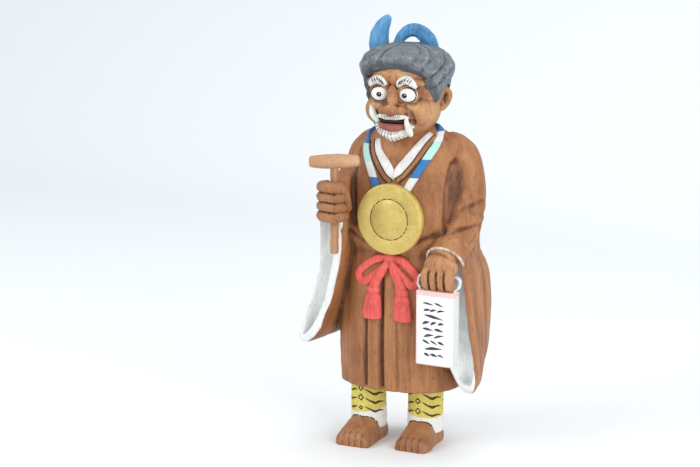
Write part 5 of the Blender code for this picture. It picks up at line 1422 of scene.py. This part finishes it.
left, right, front, back, bottom, top = 22.1, 46.3, -36.8, -27.3, 60.1, 105.6
shape = bmesh.new()
bmesh.ops.create_cube(shape, size=1.0, matrix=Matrix.Translation(Vector((
    (left + right) / 2, (front + back) / 2, (bottom + top) / 2)) * MM) @ Matrix.Diagonal(
        ((right - left) * MM, (back - front) * MM, (top - bottom) * MM, 1.0)))
bmesh.ops.bevel(shape, geom=shape.edges[:], offset=0.8 * MM, segments=4, affect="EDGES",
                profile=0.6)
bmesh.ops.triangulate(shape, faces=[f for f in shape.faces if len(f.verts) > 4])
book = new_piece("book_block", shape)
paper_white = paint_finish("book_white", (0.86, 0.86, 0.83, 1.0), (0.74, 0.74, 0.71, 1.0),
                           (0.60, 0.55, 0.48, 1.0), wear_and_highlight=0.1)
# closed pages show on the sides, and a pink band along the top and two edges of the cover
tree, tone, taker = last_colour(paper_white, "GROUP", "Colour")
along = node(tree, "SeparateXYZ", {"Vector": own_place(tree)}).outputs
PINK = (0.76, 0.44, 0.42, 1.0)
page_edges = node(tree, "TexWave", {"Vector": own_place(tree), "Scale": 330.0, "Distortion": 1.2,
                                    "Detail": 2.0}, bands_direction="Y").outputs["Fac"]
page_tone = blended(tree, eased_between(tree, page_edges, 0.1, 0.5), (0.40, 0.42, 0.40, 1.0),
                    (0.74, 0.75, 0.71, 1.0))
from_front = sums(tree, "SUBTRACT", along["Y"], front * MM + STANDS_AT.y)
side_share = sums(tree, "MULTIPLY", eased_between(tree, from_front, 0.9 * MM, 1.2 * MM), 0.8)
tone = blended(tree, side_share, tone, page_tone)
for axis, begins, ends, most, least in (
        ("Z", 102.3 * MM, 103.0 * MM, 0.0, 0.75),
        ("X", (left + 0.7) * MM + STANDS_AT.x, (left + 1.5) * MM + STANDS_AT.x, 0.6, 0.0),
        ("Z", (bottom + 0.6) * MM, (bottom + 1.3) * MM, 0.55, 0.0)):
    tone = blended(tree, eased_between(tree, along[axis], begins, ends, most, least), tone, PINK)
feed(tree, taker, tone)
note_hollows(book, 1)
stands(book, [paper_white], "white_paint", "pilgrim_book")

# The loop: up from the book's top edge, and over behind the fingers with rounded corners
rise, corner, depth, root = 114.2, 3.0, HAND[1] + 1.6, (front + back) / 2
rim = left - 1.3
loop_way = [(left + 0.8, root, top - 2), (left + 0.8, root, top + 1),
            (rim, (root + depth) / 2, rise - 6), (rim, depth, rise - 3)]
loop_way += [(rim + corner * (1 - math.cos(a)), depth, rise - 3 + corner * math.sin(a))
             for a in (0.5, 1.1, 1.57)]
loop_way += [(left + right - x, y, z) for x, y, z in reversed(loop_way)]
rings = []
for i, point in enumerate(loop_way):
    run = Vector(loop_way[min(i + 1, len(loop_way) - 1)]) - Vector(loop_way[max(i - 1, 0)])
    run.y = 0.0
    run.normalize()
    out = Vector((run.z, 0.0, -run.x))
    rings.append([Vector(point) + out * (0.8 * squared(math.sin(a), 0.5))
                  + Vector((0, 1.5 * squared(math.cos(a), 0.5), 0)) for a in full_turn(20)])
loop = skin_through("book_loop", rings)
note_hollows(loop, 1)
stands(loop, [white_paint], "white_paint", "pilgrim_book")

# A column of loose brush dabs that say nothing: rows of slanting strokes that never cross
draw = np.random.default_rng(12)
strokes = []
for row in range(9):
    level = 97.8 - 3.9 * row
    count = (2, 3, 1, 3, 2)[row % 5]
    for k in range(count):
        x = 34.0 + (k - (count - 1) / 2) * (13.8 / count) + draw.uniform(-0.4, 0.4)
        long = 5.4 / count + draw.uniform(0.0, 0.7)
        rise = draw.uniform(0.3, 1.1) * (1 if row % 2 else -1)
        rows = smooth_way([(x - long, level - rise, 0.30),
                           (x - 0.2 * long, level + 0.3, draw.uniform(0.55, 0.95)),
                           (x + long, level + rise, 0.15)], 6)
        strokes.append(([(Vector((x, front, z)), Vector((0, -1, 0))) for x, z, _ in rows],
                        widths(rows)))
ink = paint_finish("brush_ink", (0.030, 0.034, 0.042, 1.0), (0.09, 0.10, 0.12, 1.0),
                   (0.3, 0.3, 0.3, 1.0), rough=0.6)
stands(brushed("cover_strokes", strokes, 0.06, 0.2), [ink], "white_paint", "pilgrim_book")


# Legs and feet: two posts carved as leggings of yellow tiger skin over white, on bare feet.
# The stripes and rings are brushed on in brown-black; the feet are wood with the toes notched.
legging_yellow = paint_finish("legging_yellow", (0.70, 0.60, 0.13, 1.0), (0.56, 0.46, 0.09, 1.0),
                              (0.80, 0.76, 0.55, 1.0), speckle=0.8)
tree, yellow, taker = last_colour(legging_yellow, "GROUP", "Colour")
cuff_edge = ragged(tree, mark_on(tree, "cuff"), 700.0, 1.6)
feed(tree, taker, blended(tree, eased_between(tree, cuff_edge, -0.5, 0.5), yellow,
                          (0.74, 0.74, 0.70, 1.0)))
stripe_black = paint_finish("stripe_black", (0.045, 0.026, 0.014, 1.0), (0.10, 0.06, 0.03, 1.0),
                            (0.5, 0.42, 0.1, 1.0), speckle=0.8)
# cross sections of a foot: how far forwards, half-width, height, shift outwards
FOOT = [(-12.5, 5.6, 6.5, 0), (-11, 8.6, 9.5, 0), (-5, 10.6, 12.5, 0), (2, 11.0, 15.2, 0),
        (9, 11.3, 15.2, 0.2), (13.5, 11.9, 12.8, 0.5), (18, 12.4, 10.0, 0.7),
        (22, 12.2, 7.8, 0.6), (24.4, 11.2, 6.0, 0.2), (25.4, 9.6, 4.0, 0.0)]
# stripes round a leg as angle from its front, drop and half-width
STRIPES = (
    [(14, 0.6, 0.25), (32, -1.2, 0.6), (48, -2.7, 0.9), (64, -2.1, 0.7), (84, -2.8, 0.2)],
    [(-15, 0.2, 0.25), (-30, -0.4, 0.7), (-44, -1.6, 0.6), (-62, -1.2, 0.2)],
    [(98, 0.6, 0.2), (120, -0.8, 0.6), (146, -2.2, 0.6), (170, -1.6, 0.2)],
    [(-82, 0.4, 0.2), (-104, -0.8, 0.6), (-132, -2.0, 0.6), (-160, -1.6, 0.2)])
CUFF_TOP = 19.5
for label, leg_x, leg_y, toe_shift, splay, broad, rings_down in (
        ("right", -24.6, -7.0, -1.0, 3.0, 0.95, (33.8, 27.8, 21.2)),
        ("left", 11.6, -0.5, 1.0, 2.0, 0.88, (28.6, 22.2))):
    legging = one_block(label + "_legging", [round_bar("post", [
        (leg_x, leg_y, z, r) for z, r in ((44, 11.2), (34, 10.9), (20, 10.9), (14, 11.3),
                                          (8, 11.2))], 8, 60)], 0.5)
    coords = knife_finished(legging, *read_points(legging), (5.0, 5.0, 9.0), 0.5, 31, 8, 0.4)
    store(legging, "cuff", CUFF_TOP + 0.10 * (coords[:, 1] - leg_y) - coords[:, 2]
          - 0.12 * toe_shift * (coords[:, 0] - leg_x))
    leg_skin = skin_tree(legging)
    part_of_him(legging, legging_yellow, "yellow_paint")
    spin = Matrix.Rotation(math.radians(splay), 3, "Z")
    rings = []
    for forward, half, tall_at, shift in smooth_way(FOOT, 5):
        ring = []
        for a in full_turn(48):
            c, s = math.cos(a), math.sin(a)
            wide = half * broad * squared(c, 0.75) + shift * toe_shift
            tall = tall_at * squared(s, 0.8) if s > 0 else 2.5 * s
            place = spin @ Vector((wide, -forward, 0.0))
            ring.append((leg_x + place.x, leg_y + place.y, tall + 1.0))
        rings.append(ring)
    foot = one_block(label + "_foot", [skin_through("foot", rings)], 0.45)
    coords, normals = read_points(foot)
    coords = whittled(coords, normals, (4.4, 6.0, 4.4), 0.6, 17)
    for k in range(4):
        # the gap between two toes
        across = -6.4 + 4.2 * k
        ends = [spin @ Vector((across * 0.95, -21.8, 0.0)),
                spin @ Vector((across * 1.05, -29.0, 0.0))]
        low = np.clip((13.0 - coords[:, 2]) / 3.0, 0.0, 1.0)[:, None]
        cut = scored(coords, normals, [(leg_x + end.x, leg_y + end.y) for end in ends], 0.7, 0.6,
                     "xy", (0.0, -0.6, 0.8))
        coords = coords + (cut - coords) * low
    coords[:, 2] = np.maximum(coords[:, 2], 0.0)
    move_points(foot, coords)
    foot_skin = skin_tree(foot)
    part_of_him(foot, hand_wood, "carved_wood", 10, 0.4)

    def on_leg(angle, z):
        """Place on the leg at an angle in degrees from its front, and the way out from it."""
        out = Vector((math.sin(math.radians(angle)), -math.cos(math.radians(angle)), 0.0))
        point, _, _, _ = leg_skin.ray_cast((Vector((leg_x, leg_y, z)) + out * 30.0) * MM, -out)
        return point, out

    def round_leg(rows):
        """Places round the leg for rows of angle from its front, height and half-width."""
        placed = [on_leg(angle, z) for angle, z, _ in rows]
        return [(Vector(point) / MM, out) for point, out in placed], widths(rows)

    marks = []
    for row in range(4):
        level = rings_down[0] + 4.4 - 5.6 * row
        if level > 20.0:
            marks += [round_leg(smooth_way([(angle, level + z, half) for angle, z, half in way], 6))
                      for way in STRIPES]
    for level, size in zip(rings_down, (1.7, 1.9, 1.2)):
        # a small ring between two stripes, drawn as a lozenge
        corners = [(0, size), (size * 5.0, 0), (0, -size), (-size * 5.0, 0)]
        for (a0, z0), (a1, z1) in zip(corners, corners[1:] + corners[:1]):
            marks.append(round_leg([(a0 + (a1 - a0) * t, level + z0 + (z1 - z0) * t, 0.42)
                                    for t in np.linspace(0, 1, 4)]))
    # dark line where the legging meets the foot
    seam = []
    for angle in np.linspace(-105, 105, 36):
        leg_point, out = on_leg(angle, 17.0)
        above = leg_point + out * 0.3 * MM + Vector((0, 0, 20 * MM))
        foot_point, _, _, _ = foot_skin.ray_cast(above, Vector((0, 0, -1)))
        if foot_point is not None and foot_point.z > 9.0 * MM:
            seam.append((angle, foot_point.z / MM + 0.35, 0.50))
    marks.append(round_leg(seam))
    part_of_him(brushed(label + "_stripes", marks, 0.09, 0.3), stripe_black, "yellow_paint")
